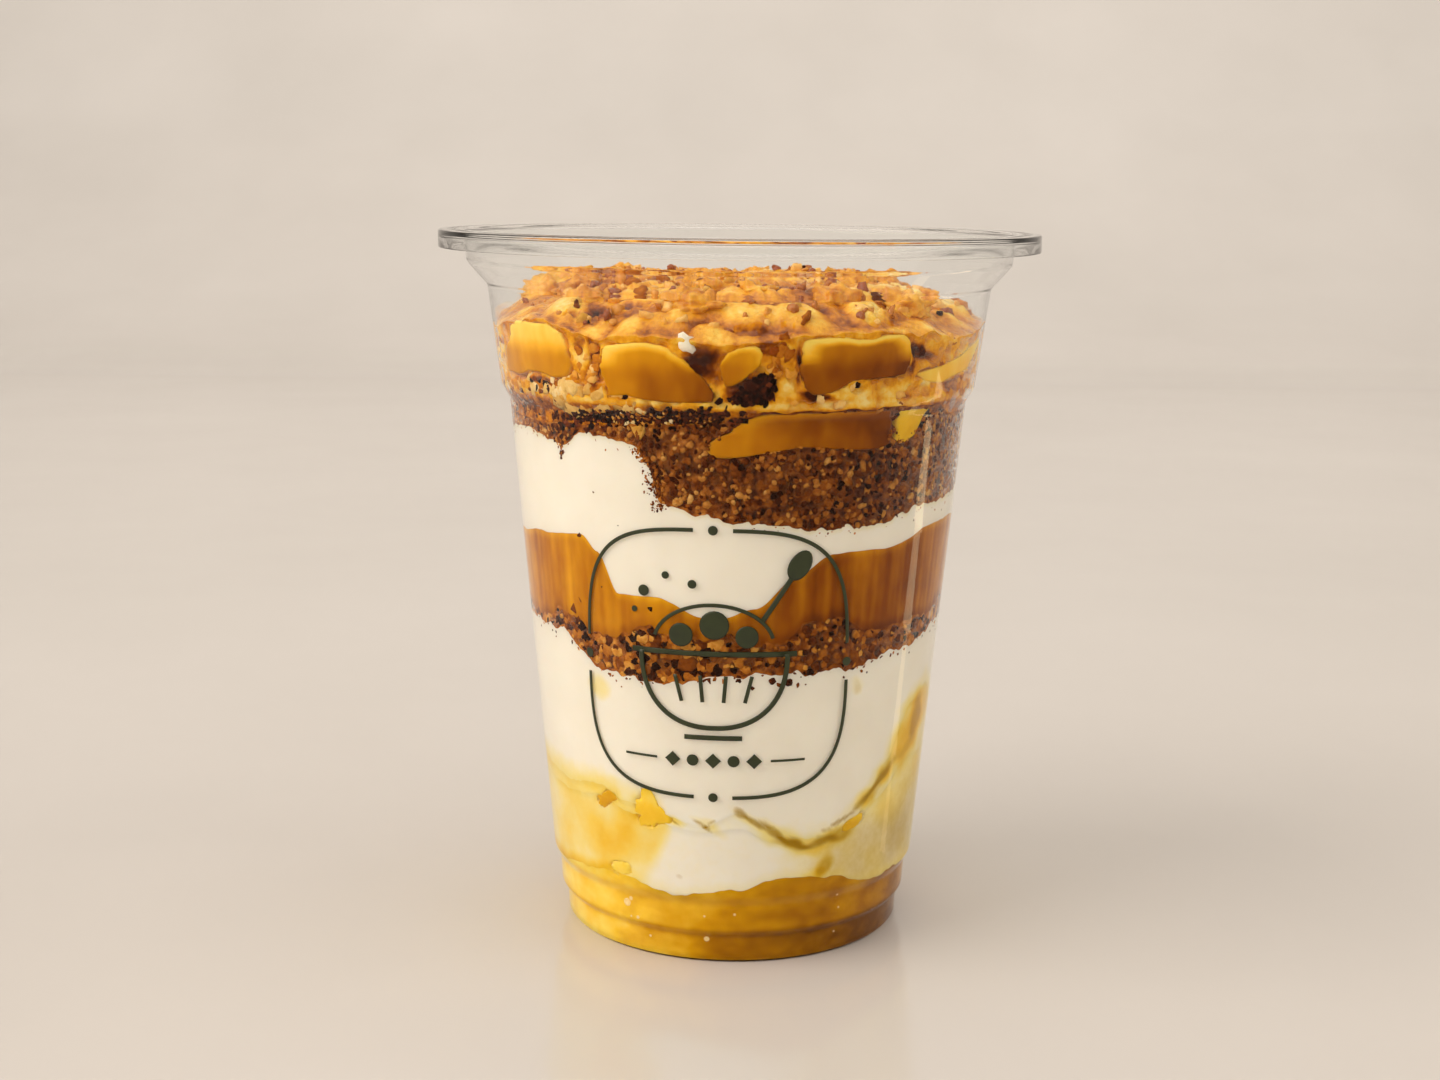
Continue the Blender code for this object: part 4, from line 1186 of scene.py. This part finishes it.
def make_top_lumps(paints):
    """The granola clusters on top, glazed, each in its place from the part."""
    places = []
    for angle, radius, height, size, twist in top_places():
        sizes = (size * (1.0 + 0.35 * twist), size, size * (0.62 + 0.2 * twist))
        turned = (0, 0, math.tau * twist)
        places.append((place(angle, radius, height - 0.9), sizes, turned, 0.5 + 0.2 * twist, 0.4))
    scatter("granola_clusters", paints["glaze"], "topping", places, fineness=4, lumpy=0.55)


# The nuts on top: the field's radius, the usual gap between them, and the turn from one to the next.
NUT_FIELD = HEAP_RADIUS - 2.0
NUT_GAP = 1.45
NUT_TURN = 137.508


def make_top_nuts(paints):
    """Crushed nuts on top, thick in the rough places, half sunk in the glaze."""
    draw = random.Random(NUT_SEED)
    nuts, oats, darks = [], [], []
    count = round(math.pi * (NUT_FIELD / NUT_GAP) ** 2)
    for index in range(count):
        radius = NUT_FIELD * math.sqrt((index + 0.5) / count)
        angle = index * NUT_TURN + draw.uniform(-4, 4)
        x, y, _ = place(angle, radius, 0)
        _, rough = heap_lumps(x, y)
        if draw.random() > 0.06 + 0.5 * rough or furrow(x, y) > 0.1:
            continue
        size = draw.choice((0.4, 0.5, 0.65, 0.8, 1.05))
        height = dome_top(angle, radius / HEAP_RADIUS) + 0.05 * size
        sizes = (size * draw.uniform(0.9, 1.4), size, size * draw.uniform(0.5, 0.9))
        kind = draw.random()
        group = oats if kind < 0.04 else darks if kind < 0.12 else nuts
        turns = [draw.uniform(0, math.tau) for _ in range(3)]
        group.append(((x, y, height), sizes, turns, draw.uniform(-0.15, 0.85), 0.4))
    scatter("crushed_nuts", paints["glazed_nut"], "granola", nuts, fineness=2)
    scatter("oat_flakes", paints["oat"], "granola", oats, fineness=2)
    scatter("dark_crumbs", paints["granola"], "granola", darks, fineness=2)


# Where bits of each kind show in the topping's side: angles, heights, how many, how large, how light.
SIDE_BITS = (
    ("oat", (-57, -42), (91.4, 93.8), 14, (0.6, 1.1), (0.3, 0.8)),
    ("oat", (-46, -33), (88.4, 93.0), 16, (1.0, 1.9), (0.0, 0.5)),
    ("oat", (-33, -25), (88.8, 92.6), 8, (0.9, 1.6), (0.0, 0.4)),
    ("oat", (-24, -20), (86.0, 87.2), 3, (0.8, 1.0), (-0.1, 0.1)),
    ("nut", (-40, -32), (93.8, 99.2), 16, (0.5, 1.1), (0.1, 0.9)),
    ("nut", (6.5, 13.4), (93.6, 101.0), 18, (0.6, 1.25), (0.0, 0.7)),
    ("nut", (8, 46), (91.2, 94.2), 5, (0.6, 1.0), (0.5, 1.0)),
    ("nut", (46, 75), (90.5, 100.0), 20, (0.6, 1.2), (0.1, 0.8)),
    ("nut", (-78, -60), (90.5, 99.0), 18, (0.6, 1.2), (0.1, 0.8)),
    ("nut", (78, 285), (90.4, 100.4), 150, (0.6, 1.4), (0.0, 0.9)),
    ("oat", (78, 285), (88.0, 97.0), 90, (0.6, 1.2), (0.0, 0.9)),
    ("dark", (78, 285), (87.0, 91.5), 150, (0.4, 1.0), (0.1, 0.8)),
    ("dark", (78, 285), (91.0, 99.0), 20, (0.5, 1.0), (0.1, 0.8)),
    ("dark", (-58, -44), (91.8, 93.4), 6, (0.5, 0.8), (0.1, 0.6)),
    ("dark", (-28, -21.5), (91.6, 94.0), 12, (0.5, 0.9), (0.1, 0.6)),
    ("dark", (-8, 0), (90.6, 92.0), 8, (0.4, 0.8), (0.1, 0.6)),
    ("dark", (46, 53), (85.2, 89.0), 18, (0.5, 1.0), (0.1, 0.6)),
    ("granola", (-75, -43), (85.0, 91.6), 120, (0.5, 1.1), (0.1, 0.8)),
)
# The dark crumbs that run in a line under the topping: angle and height along their middle.
DARK_LINE = ((-47, 87.4), (-36, 87.6), (-26, 88.6), (-12, 89.2), (2, 89.6))
DARK_GRAINS = 210
# Single dark seeds: angle, height and half size.
SEEDS = ((27.0, 94.2, 0.95), (26.6, 95.2, 0.7), (-49.6, 92.8, 0.8), (-1.8, 92.2, 0.8))
# The one pale nut over the front caramel: angle, height, half size, tone and flatness.
PALE_NUT = (-11.2, 100.1, 1.5, 1.25, 0.8)
# Grains that break up the chocolate pieces' faces: kind, outline, how many and how large.
FACE_GRAINS = (
    ("dark", CHUNK_PRINT, 170, (0.3, 0.85)), ("dark", SEAM_PRINT, 200, (0.25, 0.7)),
    ("granola", SEAM_PRINT, 170, (0.25, 0.6)), ("oat", SEAM_PRINT, 14, (0.3, 0.6)),
)


def grains_on(draw, footprint, count, sizes):
    """Grains scattered over the outline of a piece."""
    places = []
    half_angle = math.degrees(footprint.half_width / footprint.radius)
    for _ in range(count):
        angle = footprint.angle + draw.uniform(-1, 1) * half_angle
        height = footprint.height + draw.uniform(-1, 1) * footprint.half_height
        if footprint.off(angle, height) < 0.3:
            places.append(drawn_chip(draw, angle, height, sizes, (0.0, 0.9), 0.7))
    return places


def make_side_bits(paints):
    """Nuts, oats and dark bits that press on the wall between the caramel pieces."""
    draw = random.Random(SIDE_SEED)
    groups = {"oat": [], "nut": [], "dark": [], "granola": []}
    clear_of = (*CARAMEL_PRINTS, CHUNK_PRINT, SLAB_PRINT, FRUIT_PRINT)
    for kind, angles, heights, count, sizes, tones in SIDE_BITS:
        for _ in range(count):
            angle, height = draw.uniform(*angles), draw.uniform(*heights)
            size = draw.uniform(*sizes)
            if nearest(clear_of, angle, height) > size * 0.5:
                groups[kind].append(wall_chip(draw, angle, height, size, draw.uniform(*tones), 0.7))
    for _ in range(DARK_GRAINS):
        angle = draw.uniform(DARK_LINE[0][0], DARK_LINE[-1][0])
        height = float(np.interp(angle, *zip(*DARK_LINE))) + draw.gauss(0, 0.62)
        if nearest(clear_of, angle, height) > 0.2:
            size, tone = draw.choice((0.3, 0.5, 0.7, 1.0)), draw.uniform(0, 1)
            groups["dark"].append(wall_chip(draw, angle, height, size, tone, proud=PROUD / 2))
    for kind, footprint, count, sizes in FACE_GRAINS:
        groups[kind] += grains_on(draw, footprint, count, sizes)
    groups["dark"] += [wall_chip(draw, angle, height, size, 0.3, 0.6) for angle, height, size in SEEDS]
    groups["oat"].append(wall_chip(draw, *PALE_NUT, PROUD))
    scatter("side_oats", paints["oat"], "granola", groups["oat"], fineness=2)
    scatter("side_nuts", paints["nut"], "granola", groups["nut"], fineness=2)
    scatter("side_dark_bits", paints["chocolate"], "chocolate", groups["dark"])
    scatter("side_granola", paints["granola"], "granola", groups["granola"])


# Loose bits that the photograph shows: angle, height and half size.
LOOSE_CRUMBS = (
    (-42.5, 69.4, 0.6), (-36, 61.6, 0.55), (-47, 57.2, 1.2), (-46, 55.6, 1.3), (-45, 59.0, 0.8),
    (-47.6, 81.2, 0.45), (-47.5, 82.2, 0.6), (-47.3, 83.4, 0.7), (-46.8, 84.6, 0.8),
    (-47.6, 85.6, 0.9), (-46.6, 86.6, 1.0), (-48.4, 87.8, 1.0), (-22, 59.2, 0.7), (-47, 53.8, 1.0),
    (-21, 79.0, 0.4), (-37, 76.5, 0.3), (10, 48.2, 0.8), (12, 47.4, 0.7), (14, 48.0, 0.9),
    (-30, 71.8, 0.3), (5, 47.0, 0.5), (17, 47.4, 0.5), (33, 49.0, 0.4), (36, 48.4, 0.35),
)
# Grains along the lower edge of the two slabs.
SLAB_GRAINS = 420
# Grains that trickle down at the left: how many, their angle and where they start to spread.
DRIP_GRAINS = 46
DRIP_ANGLE = -47.2
DRIP_START = 81
# Grains that have fallen a little below a level: the level and how many.
FALLEN_GRAINS = ((GRANOLA_BOTTOM, 110), (CRUMB_BOTTOM, 130))
# Grains that stray on to the yogurt at the upper crumb layer's steep left edge: height and angle there.
STEEP_GRAINS = 170
STEEP_EDGE = ((75.0, -18.8), (78.0, -19.8), (81.4, -21.0), (84.0, -24.5))


def make_loose_crumbs(paints):
    """Crumbs that stray on to the yogurt and along the slabs' edges."""
    draw = random.Random(LOOSE_SEED)
    places = []
    for angle, height, size in LOOSE_CRUMBS:
        places.append(wall_chip(draw, angle, height, size, draw.uniform(0.0, 0.4), proud=PROUD))
    for _ in range(SLAB_GRAINS):
        angle, height = draw.uniform(-8, 52), draw.uniform(82.6, 86.4)
        if -0.8 < nearest((SLAB_PRINT, FRUIT_PRINT), angle, height) < 0.1:
            places.append(drawn_chip(draw, angle, height, (0.2, 0.5), (0.2, 0.8)))
    for _ in range(DRIP_GRAINS):
        height = draw.uniform(81.4, 88.5)
        angle = DRIP_ANGLE + draw.gauss(0, 0.25 + 0.16 * (height - DRIP_START))
        places.append(drawn_chip(draw, angle, height, (0.35, 0.7), (0.1, 0.7)))
    for table, count in FALLEN_GRAINS:
        for _ in range(count):
            angle = draw.uniform(-180, 180)
            height = level(table, angle) - draw.expovariate(1.1)
            places.append(drawn_chip(draw, angle, height, (0.16, 0.4), (0.1, 0.7)))
    for _ in range(STEEP_GRAINS):
        height = draw.uniform(74.4, 84.2)
        angle = float(np.interp(height, *zip(*STEEP_EDGE))) + draw.gauss(0.2, 1.0)
        places.append(drawn_chip(draw, angle, height, (0.2, 0.5), (0.05, 0.6)))
    scatter("loose_crumbs", paints["granola"], "granola", places)


def make_crumbs(paints):
    """The crumbs and the granola that press on the wall in their layers."""
    scatter("pressed_crumbs", paints["crumb"], "crumb", crumb_places())
    scatter("pressed_granola", paints["granola"], "granola", granola_places(), fineness=2)


# The print: its middle on the wall, how proud it is, its frame's half width and its lines' width, and
# the height of the row under its bowl.
PRINT_ANGLE = -5.5
PRINT_HEIGHT = 50.5
PRINT_LIFT = 0.03
HALF_FRAME = 21.5
LINE = 0.62
BORDER = -15.4


def print_point(across, up, out):
    """A point of the flat print design laid on the cup's outer side."""
    height = PRINT_HEIGHT + up
    radius = outer_radius(height)
    return place(PRINT_ANGLE + math.degrees(across / radius), radius + PRINT_LIFT + out, height)


def stroke(bm, points, width=LINE):
    """A printed line: a thin flattened tube through the design's points."""
    curve = bpy.data.curves.new("stroke", "CURVE")
    curve.dimensions = "3D"
    curve.bevel_depth = width / 2
    curve.bevel_resolution = 1
    curve.use_fill_caps = True
    spline = curve.splines.new("POLY")
    spline.points.add(len(points) - 1)
    for spot, (across, up) in zip(spline.points, points):
        spot.co = (across, up, 0, 1)
    item = bpy.data.objects.new("stroke", curve)
    bpy.context.scene.collection.objects.link(item)
    mesh = bpy.data.meshes.new_from_object(item.evaluated_get(bpy.context.evaluated_depsgraph_get()))
    bpy.data.objects.remove(item, do_unlink=True)
    bpy.data.curves.remove(curve)
    bm.from_mesh(mesh)
    bpy.data.meshes.remove(mesh)


def dot(bm, across, up, wide, tall=None, sides=20, turn=0.0):
    """A printed dot or lozenge: a flattened ball."""
    made = bmesh.ops.create_uvsphere(bm, u_segments=sides, v_segments=6, radius=1.0)
    matrix = Matrix.Translation((across, up, 0)) @ Matrix.Rotation(turn, 4, "Z")
    matrix = matrix @ Matrix.Diagonal((wide, tall or wide, 0.3, 1))
    bmesh.ops.transform(bm, matrix=matrix, verts=made["verts"])


def arc(middle, size, start, end, steps, square=2.0):
    """Points of an arc, or of a squarer curve, between two angles in degrees."""
    points = []
    for step in range(steps + 1):
        way = math.radians(start + (end - start) * step / steps)
        across, up = squared(way, square)
        points.append((middle[0] + size[0] * across, middle[1] + size[1] * up))
    return points


def draw_frame(bm):
    """The design's frame: a square with very round sides, open at the middle of each side."""
    for start in (8, 98, 188, 278):
        stroke(bm, arc((0, 0), (HALF_FRAME, HALF_FRAME), start, start + 74, 48, 3.4))
    for across, up in ((1, 0), (-1, 0), (0, 1), (0, -1)):
        dot(bm, across * HALF_FRAME, up * HALF_FRAME, 0.75)


def draw_bowl(bm):
    """A bowl on a foot, with fruit in it and a spoon that leans out."""
    stroke(bm, arc((0, 2), (11.5, 12.0), 180, 360, 48, 2.3), 0.8)
    stroke(bm, [(-13.0, 2), (13.0, 2)], 0.9)
    stroke(bm, [(-4.5, -11.6), (4.5, -11.6)], 0.8)
    stroke(bm, arc((0, 3.2), (9.4, 6.6), 12, 168, 36), 0.6)
    for across, up, size in ((-5.0, 4.9, 1.9), (0.2, 6.6, 2.3), (5.2, 4.8, 1.8)):
        dot(bm, across, up, size)
    for across in (-6.0, -2.0, 2.0, 6.0):
        stroke(bm, [(across, -1.5), (across * 0.82, -5.8)], 0.6)
    stroke(bm, [(7.6, 7.4), (12.0, 14.0)], 0.8)
    dot(bm, 13.3, 16.0, 1.7, 2.6, turn=-0.58)
    seeds = ((-11.0, 11.5, 0.9), (-7.4, 14.2, 0.6), (-12.6, 8.4, 0.5), (-3.2, 13.0, 0.7))
    for across, up, size in seeds:
        dot(bm, across, up, size)


def draw_border(bm):
    """Beads and lozenges in a row below the bowl, with a fine line at each side."""
    lozenge, bead = (1.25, 4), (0.95, 16)
    for index in range(5):
        size, sides = bead if index % 2 else lozenge
        dot(bm, 3.2 * (index - 2), BORDER, size, sides=sides)
    for side in (-1, 1):
        stroke(bm, [(side * 9.0, BORDER), (side * 14.5, BORDER)], 0.4)


def make_print(material):
    """The printed design: drawn flat, then laid on the outer side, slightly proud of it."""
    bm = bmesh.new()
    draw_frame(bm)
    draw_bowl(bm)
    draw_border(bm)
    long_edges = [edge for edge in bm.edges if edge.calc_length() > 1.2]
    bmesh.ops.subdivide_edges(bm, edges=long_edges, cuts=5)
    bmesh.ops.remove_doubles(bm, verts=bm.verts, dist=0.0005)
    for vert in bm.verts:
        across, up, out = vert.co
        vert.co = print_point(across, up, max(-PRINT_LIFT, min(PRINT_LIFT, out)))
    add_piece("olive_print", mesh_from(bm, "olive_print"), material, "cup")


# Air bubbles that the photograph shows: angle, height and radius. And how many smaller ones there are.
PLAIN_BUBBLES = ((-35, 8.6, 0.7), (-33.5, 9.4, 0.4), (-8, 4.0, 0.5), (-31, 6.4, 0.35))
SMALL_BUBBLES = 34


def make_bubbles(material):
    """Small air bubbles in the purée against the wall, pale as a painted glint."""
    draw = random.Random(BUBBLE_SEED)
    spots = list(PLAIN_BUBBLES)
    for _ in range(SMALL_BUBBLES):
        spots.append((draw.uniform(-180, 180), draw.uniform(3, 12), draw.uniform(0.12, 0.3)))
    places = []
    for angle, height, size in spots:
        spot = place(angle, inner_radius(height) - 0.1, height)
        places.append((spot, (size, size, size), (0, 0, 0), 0.5, 0.02))
    scatter("puree_bubbles", material, "mango_puree", places, fineness=3, lumpy=0.05)


def glint_bubble_finish():
    # Painted highlight: the pale colour stands in for the glint of air against the wall.
    finish = Finish("glint_bubble", Roughness=0.12)
    finish.colour(finish.mix(finish.noise(0.5), (240, 196, 96), (255, 240, 190)))
    return finish.material


def make_paints():
    """Every material of the object."""
    brown = (
        (0.0, (34, 9, 2)), (0.2, (78, 30, 6)), (0.4, (126, 62, 16)), (0.6, (170, 98, 32)),
        (0.8, (206, 140, 62)), (1.0, (234, 182, 104)),
    )
    toasted = (
        (0.0, (34, 10, 2)), (0.2, (90, 38, 8)), (0.4, (142, 74, 16)), (0.6, (186, 110, 32)),
        (0.8, (220, 150, 58)), (1.0, (242, 188, 96)),
    )
    golden = (
        (0.0, (150, 70, 10)), (0.3, (206, 126, 26)), (0.6, (236, 166, 60)), (0.85, (248, 196, 104)),
        (1.1, (254, 224, 160)),
    )
    pale = (
        (0.0, (208, 150, 58)), (0.4, (240, 200, 116)), (0.8, (250, 226, 172)), (1.1, (255, 246, 224)),
    )
    cocoa = ((0.0, (16, 4, 2)), (0.4, (38, 12, 7)), (0.8, (74, 32, 18)), (1.0, (132, 62, 30)))
    return {
        "plastic": clear_plastic(),
        "yogurt": yogurt_finish(),
        "puree": puree_finish(),
        "seam": yogurt_finish("mango_swirl"),
        "fruit": puree_finish("mango_fruit", 0.02),
        "olive_fruit": puree_finish("mango_slice"),
        "caramel": caramel_finish(),
        "crumb": crumb_finish("baked_crumb", brown, 0.8),
        "granola": crumb_finish("granola", toasted, 1.2, 0.6),
        "nut": crumb_finish("crushed_nut", golden, 1.0, 0.42),
        "glazed_nut": crumb_finish("glazed_nut", golden, 1.0, 0.24, 0.6),
        "oat": crumb_finish("oat_flake", pale, 1.0, 0.5),
        "chocolate": crumb_finish("dark_chocolate", cocoa, 0.9, 0.4),
        "glaze": glaze_finish(),
        "glaze_side": glaze_finish("glaze_on_wall", 0.05),
        "ink": ink_finish(),
        "glint_bubble": glint_bubble_finish(),
    }


# The studio, in metres: the floor, where it bends up, and the bend's radius.
FLOOR_SIZE = 4.0
BACK_START = 0.9
BACK_BEND = 0.6
# How bright the room is, how bright it is in reflections, in front and overhead, and where overhead
# starts and ends, as the upward share of a direction.
ROOM = 0.71
GLOSSY_ROOM = 0.42
GLOSSY_SKY = 1.0
SKY_START = 0.3
SKY_END = 0.8
WARM = (1.0, 0.92, 0.80)
AMBER = (1.0, 0.80, 0.48)
# Soft lights that face a target: name, place, target, size, power, colour, and whether reflections
# show them.
LIGHTS = (
    ("window", (-0.85, -0.35, 0.75), (0, 0, 0.06), (0.8, 0.8), 8.0, (1.0, 0.93, 0.84), True),
    ("fill", (0.85, -0.26, 0.35), (0, 0, 0.05), (0.7, 0.7), 3.2, WARM, False),
    ("front", (-0.30, -0.75, 0.08), (0, 0, 0.02), (0.5, 0.3), 1.5, WARM, False),
    ("back", (0.1, 0.5, 1.5), (0.3, 2.0, 0.5), (1.2, 0.8), 10.0, (1.0, 0.95, 0.88), False),
)
# Bright cards that lie just over the floor and draw the upright line on the wall: name, start, end,
# width and power. They get wider with their distance, so that the line stays as wide.
CARDS = (
    ("first_card", (0.0517, -0.0071), (0.0918, 0.0085), 0.004, 0.0006),
    ("second_card", (0.0918, 0.0085), (0.1597, 0.0349), 0.010, 0.004),
    ("third_card", (0.1597, 0.0349), (0.2370, 0.0650), 0.023, 0.016),
    ("last_card", (0.2370, 0.0650), (0.3500, 0.1090), 0.035, 0.048),
)
CARD_HEIGHT = 0.001


def make_stage():
    """A pale floor that bends up into the backdrop without an edge."""
    finish = Finish("pale_floor", Roughness=0.14, Specular_IOR_Level=0.55)
    finish.colour(finish.mix(finish.noise(180.0, 4.0), (198, 192, 186), (215, 209, 204)))
    bm = bmesh.new()
    bmesh.ops.create_grid(bm, x_segments=2, y_segments=120, size=FLOOR_SIZE)
    quarter = BACK_BEND * math.pi / 2
    for vert in bm.verts:
        past = vert.co.y - BACK_START
        if past > 0:
            turn = min(past, quarter) / BACK_BEND
            vert.co.y = BACK_START + BACK_BEND * math.sin(turn)
            vert.co.z = BACK_BEND * (1 - math.cos(turn)) + max(0.0, past - quarter)
    mesh = bpy.data.meshes.new("studio_floor")
    bm.to_mesh(mesh)
    bm.free()
    mesh.shade_smooth()
    mesh.materials.append(finish.material)
    floor = bpy.data.objects.new("studio_floor", mesh)
    bpy.context.scene.collection.objects.link(floor)


def add_light(name, spot, turn, size, power, colour):
    """A rectangular light at a place, turned from facing down. The camera doesn't see it."""
    data = bpy.data.lights.new(name, "AREA")
    data.shape = "RECTANGLE"
    data.size, data.size_y = size
    data.energy = power
    data.color = colour
    light = bpy.data.objects.new(name, data)
    light.location = spot
    light.rotation_euler = turn
    light.visible_transmission = False
    light.visible_camera = False
    bpy.context.scene.collection.objects.link(light)
    return light


def make_lights():
    """Soft warm daylight from the left, weaker lights at the right and in front, a lit backdrop."""
    for name, spot, target, size, power, colour, in_reflections in LIGHTS:
        turn = (Vector(target) - Vector(spot)).to_track_quat("-Z", "Y").to_euler()
        light = add_light(name, spot, turn, size, power, colour)
        light.visible_glossy = in_reflections


def make_cards():
    """The cards that only reflections show, facing up."""
    for name, near, far, width, power in CARDS:
        near, far = Vector((*near, CARD_HEIGHT)), Vector((*far, CARD_HEIGHT))
        run = far - near
        turn = (math.pi, 0, math.atan2(run.y, run.x))
        card = add_light(name, (near + far) / 2, turn, (run.length, width), power, AMBER)
        card.visible_diffuse = False


def make_room():
    """The world. In reflections it is dim but bright overhead: the wall stays clear, the rim gleams."""
    world = bpy.data.worlds.new("studio")
    world.use_nodes = True
    tree = Nodes(world.node_tree)
    upward = tree.add("SeparateXYZ", {0: tree.add("TexCoord", {}, "Generated")}, "Z")
    gleam = tree.add("MapRange", {
        "Value": upward, "From Min": SKY_START, "From Max": SKY_END,
        "To Min": GLOSSY_ROOM - ROOM, "To Max": GLOSSY_SKY - ROOM,
    }, "Result")
    reflected = tree.add("LightPath", {}, "Is Glossy Ray")
    background = tree.nodes["Background"]
    tree.put(background, "Color", (1.0, 0.94, 0.86, 1))
    tree.put(background, "Strength", tree.sum(ROOM, reflected, gleam))
    bpy.context.scene.world = world


def make_camera():
    """The camera at the photograph's place and angle, showing colours as the photograph does."""
    data = bpy.data.cameras.new("camera")
    data.sensor_width = SENSOR
    data.lens = LENS
    data.clip_start = 0.01
    camera = bpy.data.objects.new("camera", data)
    turn = Matrix.Rotation(math.radians(CAMERA_YAW), 4, "Z")
    tilt = Matrix.Rotation(math.radians(90 - CAMERA_PITCH), 4, "X")
    roll = Matrix.Rotation(math.radians(CAMERA_ROLL), 4, "Z")
    camera.matrix_world = Matrix.Translation(Vector(CAMERA_PLACE) * MM) @ turn @ tilt @ roll
    bpy.context.scene.collection.objects.link(camera)
    bpy.context.scene.camera = camera
    bpy.context.scene.view_settings.view_transform = "Standard"


def main():
    make_camera()
    make_lights()
    make_cards()
    make_room()
    make_stage()
    paints = make_paints()
    make_cup(paints["plastic"])
    make_layers(paints)
    make_pieces(paints)
    make_crumbs(paints)
    make_side_bits(paints)
    make_loose_crumbs(paints)
    make_top_lumps(paints)
    make_top_nuts(paints)
    make_bubbles(paints["glint_bubble"])
    make_print(paints["ink"])


main()
